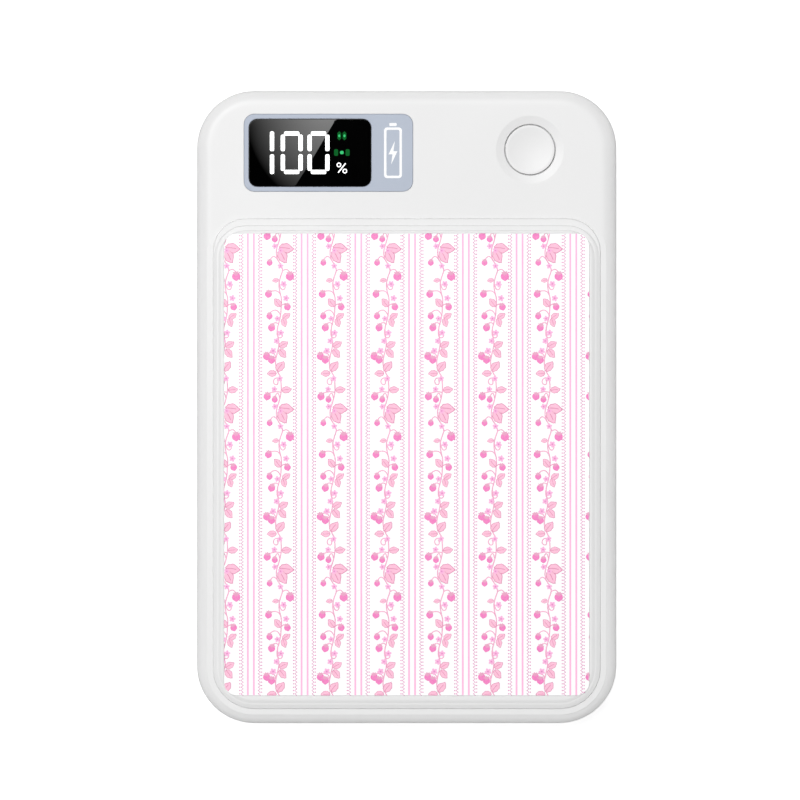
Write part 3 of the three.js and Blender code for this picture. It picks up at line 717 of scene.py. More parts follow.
# ---- printed vines ------------------------------------------------------------------------------
# Columns of a climbing berry plant between the stripes: pale stems, leaves with a darker outline
# and midrib, small five-petalled blossoms, and berries under leafy caps.
VINE_REPEAT = 25.9 * MM
VINE_PHASE = 4.37 * MM
STEM_WIDTH = 0.18 * MM
STALK_WIDTH = 0.16 * MM
STALK_DROP = 0.0006 * MM
MIDRIB_WIDTH = 0.08 * MM
MIDRIB_LIFT = 0.0035 * MM
OUTLINE_STEP = 0.0004 * MM
CAP_LIFT = 0.003 * MM
CAP_BACK = 0.24 * MM
PETAL_OUT = 0.09 * MM
HEART_RADIUS = 0.15 * MM


def shape(name, sides, length, width, layer, outline=0.0, notch=1.0, tip=1.0):
    """A small flat motif along X from the origin: an oval, maybe toothed, pointed and outlined."""
    piece = disc(name, 0.5, 0, sides, 0, 0)
    middle = Vector((0, 0, 0))
    if notch != 1.0:
        teeth = [i for i in range(sides) if i % 2]
        angles = [2 * math.pi * i / sides for i in teeth]
        corners = [Vector((-math.sin(a), math.cos(a), 0)) * 0.5 for a in angles]
        pick(piece, "VERT", lambda v: any((v.co - c).length < 0.001 for c in corners))
        bpy.ops.transform.resize(value=(notch, notch, 1), center_override=middle)
    pick(piece, "VERT", lambda v: v.co.x > 0.3)
    bpy.ops.transform.resize(value=(tip, 0.56, 1), center_override=middle)
    bpy.ops.mesh.select_all(action="SELECT")
    bpy.ops.transform.resize(value=(length, width, 1), center_override=middle)
    bpy.ops.transform.translate(value=(length / 2, 0, layer))
    bpy.ops.mesh.select_mode(type="FACE")
    bpy.ops.mesh.select_all(action="SELECT")
    push(INK_LAYER)
    if outline:
        bpy.ops.mesh.inset(thickness=outline, depth=OUTLINE_STEP)
        piece.data.materials.append(None)
        piece.data.materials.append(None)
        piece.active_material_index = 1
        bpy.ops.object.material_slot_assign()
    leave()
    return piece


def set_inks(piece, *inks):
    """Puts the print colours on a motif's faces, in order."""
    for i, one in enumerate(inks):
        if i < len(piece.data.materials):
            piece.data.materials[i] = one
        else:
            piece.data.materials.append(one)


stem_ink = ink("stem_pink", "f3aacb", "eb9cc0")
leaf_ink = ink("leaf_pink", "fbc6dc", "f6b0cd", 2600)
vein_ink = ink("vein_pink", "e28cb2", "d97ca6")
berry_ink = ink("berry_pink", "fb8fcc", "e45fae", 5200)
cap_ink = ink("cap_pink", "eba9c6", "df96b8")
petal_ink = ink("petal_pink", "fbbfe2", "f39fd3", 4200)
heart_ink = ink("heart_pink", "e993ca", "e080bd")

leaf = shape(
    "leaf", 18, 1.55 * MM, 1.12 * MM, INK_LEAVES, outline=0.075 * MM, notch=0.9, tip=1.12
)
set_inks(leaf, vein_ink, leaf_ink)
rib_points = ((0.1 * MM, 0), (0.7 * MM, 0.03 * MM), (1.2 * MM, 0))
midrib = ink_line("midrib", rib_points, MIDRIB_WIDTH, INK_LEAVES + MIDRIB_LIFT)
set_inks(midrib, vein_ink)
leaf = join("leaf", [leaf, midrib])

berry = shape("berry", 12, 1.2 * MM, 1.2 * MM, INK_BERRIES, outline=0.06 * MM, tip=1.08)
set_inks(berry, berry_ink, berry_ink)
cap = shape("cap", 14, 0.74 * MM, 1.2 * MM, INK_BERRIES + CAP_LIFT, notch=0.55, tip=1.1)
edit(cap)
bpy.ops.mesh.select_all(action="SELECT")
bpy.ops.transform.translate(value=(-CAP_BACK, 0, 0))
leave()
set_inks(cap, cap_ink)
berry = join("berry", [berry, cap])

petal = shape("petal", 7, 0.42 * MM, 0.36 * MM, INK_PETALS)
set_inks(petal, petal_ink)
heart = disc("heart", HEART_RADIUS, INK_PETALS + CAP_LIFT, 6, 0, 0)
push(INK_LAYER)
leave()
set_inks(heart, heart_ink)
flower = [heart]
for turn in range(0, 360, 72):
    away = math.radians(turn)
    flower.append(copy(petal, PETAL_OUT * math.cos(away), PETAL_OUT * math.sin(away), turn=turn))
blossom = join("blossom", flower)

# One repeat of the plant, in millimetres from the middle of its column and down from its start.
STEM = (
    (0.45, -0.6), (0.6, 0.9), (0.55, 2.2), (0.2, 3.6), (-0.2, 4.7), (-0.25, 5.8), (0.1, 6.7), (0.6, 7.5),
    (0.85, 8.2), (0.45, 9.2), (0.15, 10.4), (0.3, 11.6), (0.65, 12.8), (0.55, 14.2), (0.5, 15.3),
    (0.25, 16.5), (-0.1, 17.6), (0.05, 18.9), (0.25, 20.2), (-0.1, 21.6), (-0.4, 22.9), (-0.25, 24.1),
    (0.2, 25.0), (0.45, 25.3),
)
STALKS = (
    ((0.5, 2.0), (0.1, 1.9), (-0.5, 1.9), (-1.2, 2.1), (-1.6, 2.2)),
    ((0.3, 2.9), (0.2, 2.2), (-0.2, 2.1), (-0.5, 2.8)),
    ((0.1, 6.7), (-0.3, 6.0), (-0.9, 5.9), (-1.3, 6.6)),
    ((0.75, 8.3), (1.2, 8.0), (1.7, 8.1), (1.95, 8.6)),
    ((0.2, 10.0), (0.4, 11.2), (1.0, 11.4), (1.3, 10.8), (1.1, 10.3)),
    ((0.6, 12.7), (0.4, 11.8), (-0.4, 11.4), (-1.2, 11.6)),
    ((0.6, 13.9), (0.9, 13.6), (1.3, 13.6)),
    ((0.5, 15.6), (0.2, 14.8), (-0.7, 14.5), (-1.3, 15.1)),
    ((0.2, 17.0), (-0.1, 16.6), (-0.7, 16.7), (-1.0, 17.0)),
    ((-0.1, 17.8), (-0.2, 18.9), (0.5, 19.2), (0.9, 18.6), (0.6, 18.2)),
    ((-0.3, 22.2), (-0.6, 21.5), (-1.2, 21.5), (-1.7, 21.6)),
    ((-0.25, 22.4), (-0.6, 22.1), (-0.9, 22.2)),
    ((0.35, 25.6), (-0.3, 25.5), (-0.75, 26.0), (-0.6, 26.6), (-0.05, 26.7), (0.1, 26.2), (-0.1, 25.8)),
)
LEAVES = (
    # x, y, turn, size
    (0.6, 1.7, 8, 1.05), (0.15, 4.5, -6, 1.55), (0.25, 4.9, -62, 1.5), (0.2, 9.7, 192, 0.7),
    (0.5, 14.1, 128, 1.05), (0.75, 16.0, 34, 0.95), (0.8, 15.9, -72, 0.95), (0.2, 20.6, 30, 1.05),
    (0.25, 20.9, -52, 1.1), (-0.2, 24.5, 52, 1.25), (-0.15, 24.8, 184, 1.0),
)
BERRIES = (
    # x, y, turn, size
    (-1.6, 2.1, -100, 1.0), (-0.5, 2.7, -88, 0.82), (-1.3, 6.5, -92, 0.8), (1.95, 8.5, -88, 1.15),
    (-1.4, 11.5, -100, 0.95), (1.4, 13.6, -72, 0.92), (-1.35, 15.1, -88, 0.85), (-0.85, 16.9, -105, 0.98),
    (-1.85, 21.5, -84, 1.0), (-0.98, 22.1, -92, 0.98),
)
BLOSSOMS = (
    # x, y, turn, size
    (-0.55, 1.5, 10, 1.0), (-0.45, 4.3, 40, 1.0), (0.45, 5.0, 0, 0.95), (0.45, 7.5, 20, 1.0),
    (0.95, 10.4, 55, 1.1), (1.35, 12.7, 5, 1.1), (-0.05, 16.0, 30, 1.0), (0.5, 18.3, 15, 1.1),
    (-0.2, 19.6, 0, 1.05), (-0.75, 21.2, 48, 1.15), (0.35, 25.7, 25, 1.0),
)


def climb(points):
    """Points of the plant, as places on the panel."""
    return [(x * MM, -y * MM) for x, y in points]


stems = [ink_line("stem", climb(STEM + ((0.45, 25.9),)), STEM_WIDTH, INK_STEMS, "NURBS")]
for points in STALKS:
    stems.append(ink_line("stalk", climb(points), STALK_WIDTH, INK_STEMS - STALK_DROP, "NURBS"))
for one in stems:
    set_inks(one, stem_ink)
vine_parts = {"printed_stems": stems}
for name, motif, places in (
    ("printed_leaves", leaf, LEAVES),
    ("printed_berries", berry, BERRIES),
    ("printed_blossoms", blossom, BLOSSOMS),
):
    vine_parts[name] = [
        copy(motif, x * MM, -y * MM, INK_NUDGE * i, turn, size)
        for i, (x, y, turn, size) in enumerate(places)
    ]
    bpy.data.objects.remove(motif)
bpy.data.objects.remove(petal)
for name, pieces in vine_parts.items():
    vine = join(name, pieces)
    alone(vine)
    vine.location = (first - COLUMN / 2, VINE_PHASE + VINE_REPEAT, 0)
    bpy.ops.object.transform_apply(location=True, rotation=True, scale=True)
    repeat(vine, 4, y=-VINE_REPEAT)
    repeat(vine, PAIRS + 1, x=COLUMN)
    trim_to_panel(vine)
    complete(vine, "case", "print")

# ---- display surround ---------------------------------------------------------------------------
# A painted plastic plate glued into its own pocket, with a battery symbol in white ink at its end.
WINDOW_CORNER = 1.4 * MM
WINDOW_FLARE = 0.04 * MM
PLATE_FACE = surround_high.z - 0.01 * MM
PLATE_ROUND = 0.08 * MM
surround = plate(
    "display_plate", surround_low.x, surround_high.x, surround_low.y, surround_high.y, surround_low.z,
    SURROUND_CORNER, steps=8,
)
push(PLATE_FACE - PLATE_ROUND - surround_low.z)
step_in(round_over(PLATE_ROUND, 3))
leave()
window_hole = pocket(
    "window_hole", window_low, window_high, WINDOW_CORNER, surround_low.z - OVERSHOOT, PLATE_FACE,
    WINDOW_FLARE, 5,
)
boolean(surround, "DIFFERENCE", window_hole)
smooth(surround)
plate_paint = finish("plate_paint", "acb5c4", "a6afbf", 60, 5200, 0.36, 0.46, 0.002 * MM)
complete(surround, "case", "surround", plate_paint, nodes=["display_surround"])

# The symbol stands upright when the case lies on its side.
SYMBOL_SHIFT = 0.15 * MM
symbol_x = (window_high.x + surround_high.x) / 2 + SYMBOL_SHIFT
symbol_y = (surround_low.y + surround_high.y) / 2
CELL_WIDTH, CELL_LENGTH, CELL_WALL = 2.9 * MM, 8.2 * MM, 0.4 * MM
CELL_CORNER, HOLLOW_CORNER, TERMINAL_CORNER = 0.5 * MM, 0.22 * MM, 0.15 * MM
TERMINAL_WIDTH, TERMINAL_LENGTH, TERMINAL_GAP = 1.2 * MM, 0.5 * MM, 0.22 * MM
SYMBOL_ROOT = PLATE_FACE - 0.05 * MM
SYMBOL_HEIGHT = 0.058 * MM
cell = plate(
    "battery_symbol", symbol_x - CELL_WIDTH / 2, symbol_x + CELL_WIDTH / 2,
    symbol_y - CELL_LENGTH / 2, symbol_y + CELL_LENGTH / 2, SYMBOL_ROOT, CELL_CORNER, steps=5,
)
push(SYMBOL_HEIGHT)
leave()
inside = plate(
    "inside", symbol_x - CELL_WIDTH / 2 + CELL_WALL, symbol_x + CELL_WIDTH / 2 - CELL_WALL,
    symbol_y - CELL_LENGTH / 2 + CELL_WALL, symbol_y + CELL_LENGTH / 2 - CELL_WALL,
    SYMBOL_ROOT - SYMBOL_HEIGHT, HOLLOW_CORNER, steps=4,
)
push(3 * SYMBOL_HEIGHT)
leave()
boolean(cell, "DIFFERENCE", inside)
terminal_y = symbol_y + CELL_LENGTH / 2 + TERMINAL_GAP
terminal = plate(
    "terminal", symbol_x - TERMINAL_WIDTH / 2, symbol_x + TERMINAL_WIDTH / 2,
    terminal_y, terminal_y + TERMINAL_LENGTH, SYMBOL_ROOT, TERMINAL_CORNER, steps=3,
)
push(SYMBOL_HEIGHT)
leave()


def cut_out(name, points, z, height):
    """A flat shape with the given corners, cut from a sheet of this height."""
    data = bpy.data.curves.new(name, "CURVE")
    data.dimensions = "2D"
    data.fill_mode = "BOTH"
    data.extrude = height / 2
    spline = data.splines.new("POLY")
    spline.points.add(len(points) - 1)
    spline.use_cyclic_u = True
    for knot, (x, y) in zip(spline.points, points):
        knot.co = (x, y, 0, 1)
    piece = bpy.data.objects.new(name, data)
    bpy.context.scene.collection.objects.link(piece)
    alone(piece)
    bpy.ops.object.convert(target="MESH")
    bpy.ops.object.shade_flat()
    piece = bpy.context.object
    piece.location = (0, 0, z + height / 2)
    bpy.ops.object.transform_apply(location=True, rotation=True, scale=True)
    edit(piece)
    bpy.ops.mesh.select_all(action="SELECT")
    bpy.ops.mesh.remove_doubles(threshold=0.0001 * MM)
    bpy.ops.mesh.normals_make_consistent(inside=False)
    leave()
    return piece


BOLT = ((0.3, 1.9), (-0.72, -0.25), (-0.08, -0.25), (-0.3, -1.9), (0.72, 0.25), (0.08, 0.25))
corners = [(symbol_x + x * MM, symbol_y + y * MM) for x, y in BOLT]
bolt = cut_out("bolt", corners, SYMBOL_ROOT, SYMBOL_HEIGHT)
symbol = join("battery_symbol", [cell, terminal, bolt])
white_ink = finish("white_ink", "fbfbfb", "f3f4f6", 300, 9000, 0.4, 0.5, 0.0006 * MM)
complete(symbol, "case", "surround", white_ink)

# ---- display window -------------------------------------------------------------------------------
# A smoked acrylic window set into the plate. The light segments behind it show as sharp white bars
# and small green signs, so they are laid just at its face.
window = plate(
    "display_lens", window_low.x, window_high.x, window_low.y, window_high.y, window_low.z,
    WINDOW_CORNER, steps=5,
)
LENS_FACE = window_high.z - 0.006 * MM
LENS_ROUND = 0.1 * MM
push(LENS_FACE - LENS_ROUND - window_low.z)
step_in(round_over(LENS_ROUND, 4))
leave()
smooth(window)
smoked_acrylic = finish("smoked_acrylic", "010101", "020202", 90, 900, 0.0, 0.006, 0.00001 * MM)
complete(window, "case", "window", smoked_acrylic, nodes=["display_window"])

SEGMENT = 0.68 * MM
DIGIT_TOP = 2.02 * MM
DIGIT_HEIGHT = 6.9 * MM
SEGMENT_GAP = 0.5 * MM
SEGMENT_POINT = SEGMENT * 0.78
ONE_LEFT = 3.42 * MM
ZERO_LEFTS = (5.17 * MM, 9.5 * MM)
ZERO_WIDTH = 3.55 * MM
LIT_ROOT = LENS_FACE - 0.02 * MM
LIT_HEIGHT = 0.024 * MM
CORE_LIFT = 0.0015 * MM
digit_top = window_high.y - DIGIT_TOP
digit_foot = digit_top - DIGIT_HEIGHT
digit_middle = (digit_top + digit_foot) / 2


def lit(name, left, right, foot, top, corner=0.24, steps=2):
    """A light segment: a thin bar with cut corners at the window's face."""
    bar = plate(name, left, right, foot, top, LIT_ROOT, corner * MM, steps=steps)
    push(LIT_HEIGHT)
    leave()
    return bar


def lit_spot(name, x, y, reach_x, reach_y, corner, steps=2):
    """A light segment about a point, this many millimetres out each way."""
    left, right = x - reach_x * MM, x + reach_x * MM
    return lit(name, left, right, y - reach_y * MM, y + reach_y * MM, corner, steps)


def upright(left, foot, top):
    """The two bars of one side of a digit."""
    gap = SEGMENT_GAP / 2
    return [
        lit("bar", left, left + SEGMENT, foot, digit_middle - gap),
        lit("bar", left, left + SEGMENT, digit_middle + gap, top),
    ]


bars = upright(window_low.x + ONE_LEFT, digit_foot, digit_top)
for offset in ZERO_LEFTS:
    left = window_low.x + offset
    right = left + ZERO_WIDTH
    for side in (left, right - SEGMENT):
        bars += upright(side, digit_foot + SEGMENT_POINT, digit_top - SEGMENT_POINT)
    for foot in (digit_foot, digit_top - SEGMENT):
        bars.append(lit("bar", left + SEGMENT_POINT, right - SEGMENT_POINT, foot, foot + SEGMENT))
digits = join("lit_digits", bars)


def glow(name, light, dark, strength):
    """A lit segment: a tinted diffuser with light behind it, dark in itself at full strength."""
    material = finish(name, light, dark, 900, 5000, 0.0, 0.01, 0.00001 * MM)
    nodes, links = material.node_tree.nodes, material.node_tree.links
    body, tint = nodes["Principled BSDF"], nodes["variation"].outputs["Colour"]
    links.new(tint, body.inputs["Emission Color"])
    body.inputs["Emission Strength"].default_value = strength
    if strength >= 1:
        links.remove(body.inputs["Base Color"].links[0])
        body.inputs["Base Color"].default_value = (0.002, 0.004, 0.002, 1)
    return material


white_light = glow("white_light", "ffffff", "f8fafa", 0.8)
complete(digits, "case", "display", white_light)

# Two drops of light, the radiating coil sign and a percent sign, one above another.
SIGNS_LEFT = 15.05 * MM
DROPS_DOWN, COIL_DOWN, PERCENT_UP = 0.72 * MM, 3.42 * MM, 0.98 * MM
DROP_OUT, WAVE_OUT = 0.42 * MM, 0.93 * MM
signs_x = window_low.x + SIGNS_LEFT
drops_y = digit_top - DROPS_DOWN
coil_y = digit_top - COIL_DOWN
percent_y = digit_foot + PERCENT_UP
green, bright = [], []
for side in (-1, 1):
    x = signs_x + side * DROP_OUT
    green.append(lit_spot("drop", x, drops_y, 0.3, 0.72, 0.29, 1))
    bright.append(lit_spot("drop_core", x, drops_y, 0.17, 0.22, 0.16))
    green.append(lit_spot("wave", signs_x + side * WAVE_OUT, coil_y, 0.33, 0.54, 0.22, 3))
bright.append(lit_spot("coil_core", signs_x, coil_y, 0.3, 0.27, 0.2))
for core in bright:
    core.location.z = CORE_LIFT
    alone(core)
    bpy.ops.object.transform_apply(location=True, rotation=False, scale=False)
green_light = glow("green_light", "0c6a2c", "0a5422", 1.0)
bright_green_light = glow("bright_green_light", "4be08a", "35c070", 1.0)
complete(join("lit_signs", green), "case", "display", green_light)
complete(join("lit_cores", bright), "case", "display", bright_green_light)

SLASH_LEAN = math.radians(38)
LOOP_RADIUS, EYE_RADIUS = 0.38 * MM, 0.22 * MM
LOOP_OUT, LOOP_UP = 0.48 * MM, 0.5 * MM
slash = lit_spot("slash", signs_x, percent_y, 0.09, 0.98, 0.08)
edit(slash)
bpy.ops.mesh.select_all(action="SELECT")
bpy.ops.transform.rotate(value=SLASH_LEAN, orient_axis="Z", center_override=(signs_x, percent_y, 0))
leave()
percent = [slash]
for side in (-1, 1):
    x, y = signs_x - side * LOOP_OUT, percent_y + side * LOOP_UP
    loop = disc("loop", LOOP_RADIUS, LIT_ROOT, 20, x, y)
    push(LIT_HEIGHT)
    leave()
    eye = disc("eye", EYE_RADIUS, LIT_ROOT - LIT_HEIGHT, 20, x, y)
    push(3 * LIT_HEIGHT)
    leave()
    boolean(loop, "DIFFERENCE", eye)
    percent.append(loop)
complete(join("lit_percent", percent), "case", "display", white_light)

display_resin = finish("display_resin", "15171a", "0d0f11", 200, 3000, 0.3, 0.5, 0.01 * MM)
dress(display_resin, "display_module")
black_foam = finish("black_foam", "1c1c1d", "121213", 400, 1600, 0.8, 0.95, 0.06 * MM)
dress(black_foam, "display_seal", "battery_foam_back", "battery_foam_front")

# ---- switch ---------------------------------------------------------------------------------------
# A tact switch under the button: a black resin body in a bent steel frame, a sprung dome and a
# resin plunger that the button's stem pushes.
black_resin = finish("black_resin", "1a1b1d", "101113", 240, 2600, 0.38, 0.55, 0.006 * MM)
dress(black_resin, "switch_body", "switch_plunger")
sheet_steel = finish("sheet_steel", "c9cccf", "aeb2b6", 180, 1500, 0.22, 0.4, 0.002 * MM, metallic=1.0)
dress(sheet_steel, "switch_frame", "switch_dome", "board_screw_1", "board_screw_2", "board_screw_3")

# ---- board and its parts ----------------------------------------------------------------------------
# A glass-fibre board under green solder resist, screwed to the bosses, with its chips, capacitors
# and wound inductor soldered on.
board_resist = finish("board_resist", "1f6b3c", "17542f", 160, 1400, 0.25, 0.4, 0.02 * MM)
dress(board_resist, "main_board", "protection_board")
chip_resin = finish("chip_resin", "26272a", "1b1c1e", 300, 4200, 0.5, 0.65, 0.01 * MM)
dress(chip_resin, "power_controller", "wireless_controller")
capacitor_clay = finish("capacitor_clay", "b78d5c", "a67c4d", 500, 3600, 0.4, 0.55, 0.006 * MM)
dress(capacitor_clay, "storage_capacitor_1", "storage_capacitor_2")
ferrite_grey = finish("ferrite_grey", "3b3c3f", "2c2d30", 350, 2600, 0.55, 0.75, 0.02 * MM)
dress(ferrite_grey, "power_inductor", "ferrite_shield")

# ---- sockets --------------------------------------------------------------------------------------
# Two output and input sockets at the end of the board: folded steel shells with a broken edge and
# pressed spring tongues, resin tongues inside them, and gold-plated contacts.
SOCKET_WALL = 0.3 * MM
SOCKET_RIM = 0.06 * MM
MOUTH_DEPTH = 0.24 * MM
MOUTH_GROWTH = 0.36 * MM
SPRING_IN = 3.2 * MM
SPRING_SIZE = (1.7 * MM, 3.6 * MM, 0.36 * MM)
SPRING_BULGE = 0.1 * MM
gold = finish("contact_gold", "e5bf6a", "d3a84e", 300, 2400, 0.2, 0.34, 0.002 * MM, metallic=1.0)
SOCKET_SPRINGS = {
    # node: where the springs are across the width, and on which side, below or above
    "usb_a_shell": ((-0.24, 0.24), (-1,)),
    "usb_c_shell": ((0.0,), (-1, 1)),
}
for node, (springs, sides) in SOCKET_SPRINGS.items():
    low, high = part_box(node)
    name = node.replace("_shell", "")
    tube = socket_block(name + "_socket", node, 0, low.y, high.y)
    pick(tube, "FACE", lambda f: f.normal.y > 0.9)
    step_in([(SOCKET_RIM, 0)])
    leave()
    mouth = socket_block("mouth", node, -SOCKET_WALL, low.y - OVERSHOOT, high.y - MOUTH_DEPTH / 2)
    pick(mouth, "FACE", lambda f: f.normal.y > 0.9)
    push_out(MOUTH_DEPTH)
    widen(node, MOUTH_GROWTH)
    leave()
    boolean(tube, "DIFFERENCE", mouth)
    for share in springs:
        x = (low.x + high.x) / 2 + share * (high.x - low.x)
        y = high.y - SPRING_IN
        for side in sides:
            z = high.z if side > 0 else low.z
            bump = add_piece(
                "spring", bpy.ops.mesh.primitive_cube_add, size=1,
                location=(x, y, z - side * (SOCKET_WALL + SPRING_BULGE)), scale=SPRING_SIZE,
            )
            edit(bump)
            pick(bump, "FACE", lambda f: f.normal.z * side < -0.9)
            bpy.ops.transform.resize(value=(0.8, 0.3, 1), center_override=(x, y, z))
            leave()
            boolean(tube, "UNION", bump)
    smooth(tube)
    complete(tube, "case", "steel", sheet_steel, nodes=[node])

CONTACTS = (
    # tongue, its middle and thickness, how many contacts, pitch, width, length, sides
    ("usb_a_tongue", 10.37, 1.84, 4, 2.3, 1.1, 6.4, (-1,)),
    ("usb_c_tongue", 9.37, 0.7, 12, 0.5, 0.26, 3.4, (-1, 1)),
)
CONTACT_IN = 0.5
CONTACT_HEIGHT = 0.08 * MM
CONTACT_BEVEL = 0.03 * MM
for node, middle_z, thickness, count, pitch, width, length, sides in CONTACTS:
    low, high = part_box(node)
    strips = []
    for side in sides:
        x = (low.x + high.x) / 2 - pitch * (count - 1) / 2 * MM
        z = (middle_z + side * thickness / 2) * MM
        strip = add_piece(
            "contact", bpy.ops.mesh.primitive_cube_add, size=1,
            location=(x, high.y - (length / 2 + CONTACT_IN) * MM, z),
            scale=(width * MM, length * MM, CONTACT_HEIGHT),
        )
        edit(strip)
        pick(strip, "FACE", lambda f: f.normal.z * side > 0.9)
        bpy.ops.mesh.bevel(offset=CONTACT_BEVEL, segments=2)
        leave()
        repeat(strip, count, x=pitch * MM)
        strips.append(strip)
    contacts = join(node.replace("tongue", "contacts"), strips)
    smooth(contacts)
    complete(contacts, "case", "steel", gold)
white_resin = finish("white_resin", "e8e8e4", "deded9", 220, 2600, 0.4, 0.52, 0.004 * MM)
dress(white_resin, "usb_a_tongue")
dress(black_resin, "usb_c_tongue")

# ---- battery --------------------------------------------------------------------------------------
# A flat pouch cell in a moulded tray between foam cushions, with nickel tabs to the protection
# board and silicone leads to the main board.
pouch_foil = finish("pouch_foil", "c4c8cc", "adb2b8", 90, 500, 0.3, 0.45, 0.05 * MM, metallic=0.85)
dress(pouch_foil, "battery_cell")
tray_resin = finish("tray_resin", "d9dad7", "cfd0cc", 60, 2400, 0.42, 0.55, 0.006 * MM)
dress(tray_resin, "battery_tray")
tab_nickel = finish("tab_nickel", "c9c6bd", "b3afa5", 220, 1800, 0.28, 0.42, 0.004 * MM, metallic=1.0)
dress(tab_nickel, "battery_tab_positive", "battery_tab_negative")
red_silicone = finish("red_silicone", "c2242c", "ab1d25", 200, 3200, 0.45, 0.6, 0.004 * MM)
dress(red_silicone, "battery_lead_positive")
black_silicone = finish("black_silicone", "1b1b1d", "111113", 200, 3200, 0.45, 0.6, 0.004 * MM)
dress(black_silicone, "battery_lead_negative")

# ---- coil and magnets -----------------------------------------------------------------------------
# A flat spiral of enamelled wire on its ferrite, inside a ring of nickel-plated magnets on a steel
# yoke. The windings are grooves in the coil's face, one wire apart.
WIRE_PITCH = 0.9 * MM
GROOVE_DEPTH = 0.2 * MM
WAVE_UNIT = 20 / (2 * math.pi)
coil_copper = finish("coil_copper", "c47a45", "a9622f", 120, 2200, 0.3, 0.45, 0.004 * MM, metallic=1.0)
coil_low, coil_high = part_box("charging_coil")
coil_y = (coil_low.y + coil_high.y) / 2
nodes, links = coil_copper.node_tree.nodes, coil_copper.node_tree.links
where, centre = nodes.new("ShaderNodeTexCoord"), nodes.new("ShaderNodeMapping")
windings = nodes.new("ShaderNodeTexWave")
centre.inputs["Location"].default_value = (0, -coil_y, 0)
windings.wave_type = "RINGS"
windings.rings_direction = "Z"
windings.inputs["Scale"].default_value = 1 / (WAVE_UNIT * WIRE_PITCH)
groove_relief = nodes.new("ShaderNodeBump")
groove_relief.inputs["Distance"].default_value = GROOVE_DEPTH
links.new(where.outputs["Object"], centre.inputs["Vector"])
links.new(centre.outputs["Vector"], windings.inputs["Vector"])
links.new(windings.outputs["Fac"], groove_relief.inputs["Height"])
links.new(nodes["relief"].outputs["Normal"], groove_relief.inputs["Normal"])
links.new(groove_relief.outputs["Normal"], nodes["Principled BSDF"].inputs["Normal"])
dress(coil_copper, "charging_coil", "coil_lead_inner", "coil_lead_outer")
MAGNETS = 15
magnet_nickel = finish("magnet_nickel", "d2d3d4", "bdbfc1", 200, 1600, 0.15, 0.28, 0.002 * MM, metallic=1.0)
dress(magnet_nickel, *(f"magnet_{i:02d}" for i in range(1, MAGNETS + 1)))
dress(sheet_steel, "magnet_yoke")

# ---- back shell -----------------------------------------------------------------------------------
# The back half of the case, of the same plastic. Its lip snaps into the front shell, a shallow ring
# groove takes the pad, and a broken ring of ribs and four posts inside hold the magnets and tray.
BACK_WALL = 1.3 * MM
LIP_ROOT = 1 * MM
LIP_ROUND = 0.15 * MM
back_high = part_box("back_housing")[1]
pad_low, pad_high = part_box("back_pad")
tray_low, tray_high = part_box("battery_tray")
yoke_low, yoke_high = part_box("magnet_yoke")
seam = back_high.z - LIP_HEIGHT


def face_out():
    """Turns every face of the closed piece in edit mode outwards."""
    bpy.ops.mesh.select_mode(type="FACE")
    bpy.ops.mesh.select_all(action="SELECT")
    bpy.ops.mesh.normals_make_consistent(inside=False)


back = case_block("back_shell", 0, seam)
push(-(seam - EDGE_ROUND))
face_out()
pick(back, "FACE", lambda f: f.normal.z < -0.9)
step_in(round_over(EDGE_ROUND, EDGE_STEPS, EDGE_FULLNESS))
pick(back, "EDGE", lambda e: all(abs(v.co.z - seam) < FIT for v in e.verts))
bpy.ops.mesh.bevel(offset=SEAM_BEVEL, segments=2)
leave()
lip = case_block("lip", SIDE_WALL / 2 + FIT, seam - LIP_ROOT)
push(LIP_HEIGHT + LIP_ROOT - LIP_ROUND)
step_in(round_over(LIP_ROUND, 3))
leave()
hollow = case_block("hollow", SIDE_WALL, back_high.z + INNER_ROUND)
push(-(back_high.z - BACK_WALL))
face_out()
pick(hollow, "FACE", lambda f: f.normal.z < -0.9)
step_in(round_over(INNER_ROUND, 4))
leave()
pad_x, pad_y = (pad_low.x + pad_high.x) / 2, (pad_low.y + pad_high.y) / 2
pad_outer = (pad_high.x - pad_low.x) / 2
PAD_WIDTH = 6.0 * MM


def ring(name, inner, outer, foot, top, steps=160):
    """A flat ring about the pad's axis."""
    band = disc(name, outer, foot, steps, pad_x, pad_y)
    push(top - foot)
    leave()
    bore = disc("bore", inner, foot - OVERSHOOT, steps, pad_x, pad_y)
    push(top - foot + 2 * OVERSHOOT)
    leave()
    boolean(band, "DIFFERENCE", bore)
    return band


groove = ring("groove", pad_outer - PAD_WIDTH - FIT, pad_outer + FIT, -OVERSHOOT, pad_high.z + FIT / 4)
boolean(back, "UNION", lip)
boolean(back, "DIFFERENCE", hollow, groove)
RIB = 0.8 * MM
rib_inner = (yoke_high.x - yoke_low.x) / 2 + 2 * FIT
ribs = ring("ribs", rib_inner, rib_inner + RIB, BACK_WALL / 2, yoke_high.z - FIT, 96)
gap = plate(
    "gap", pad_x - rib_inner * 0.2, pad_x + rib_inner * 0.2, pad_y + rib_inner * 0.8,
    pad_y + rib_inner * 1.2, -OVERSHOOT, 0.1 * MM, steps=1,
)
push(yoke_high.z + 2 * OVERSHOOT)
leave()
boolean(ribs, "DIFFERENCE", gap)
boolean(back, "UNION", ribs)
POST_RADIUS = 1.7 * MM
POST_SIDE = SIDE_WALL + POST_RADIUS + 2 * MM
POST_FOOT, POST_TOP = 10 * MM, 6 * MM
for x in (shell_low.x + POST_SIDE, shell_high.x - POST_SIDE):
    for y in (tray_low.y + POST_FOOT, tray_high.y - POST_TOP):
        post = disc("post", POST_RADIUS, BACK_WALL / 2, 32, x, y)
        push(tray_low.z - FIT - BACK_WALL / 2)
        leave()
        boolean(back, "UNION", post)
boolean(back, "DIFFERENCE", *socket_cuts())
smooth(back)
complete(back, "case", "shell", shell_plastic, nodes=["back_housing"])

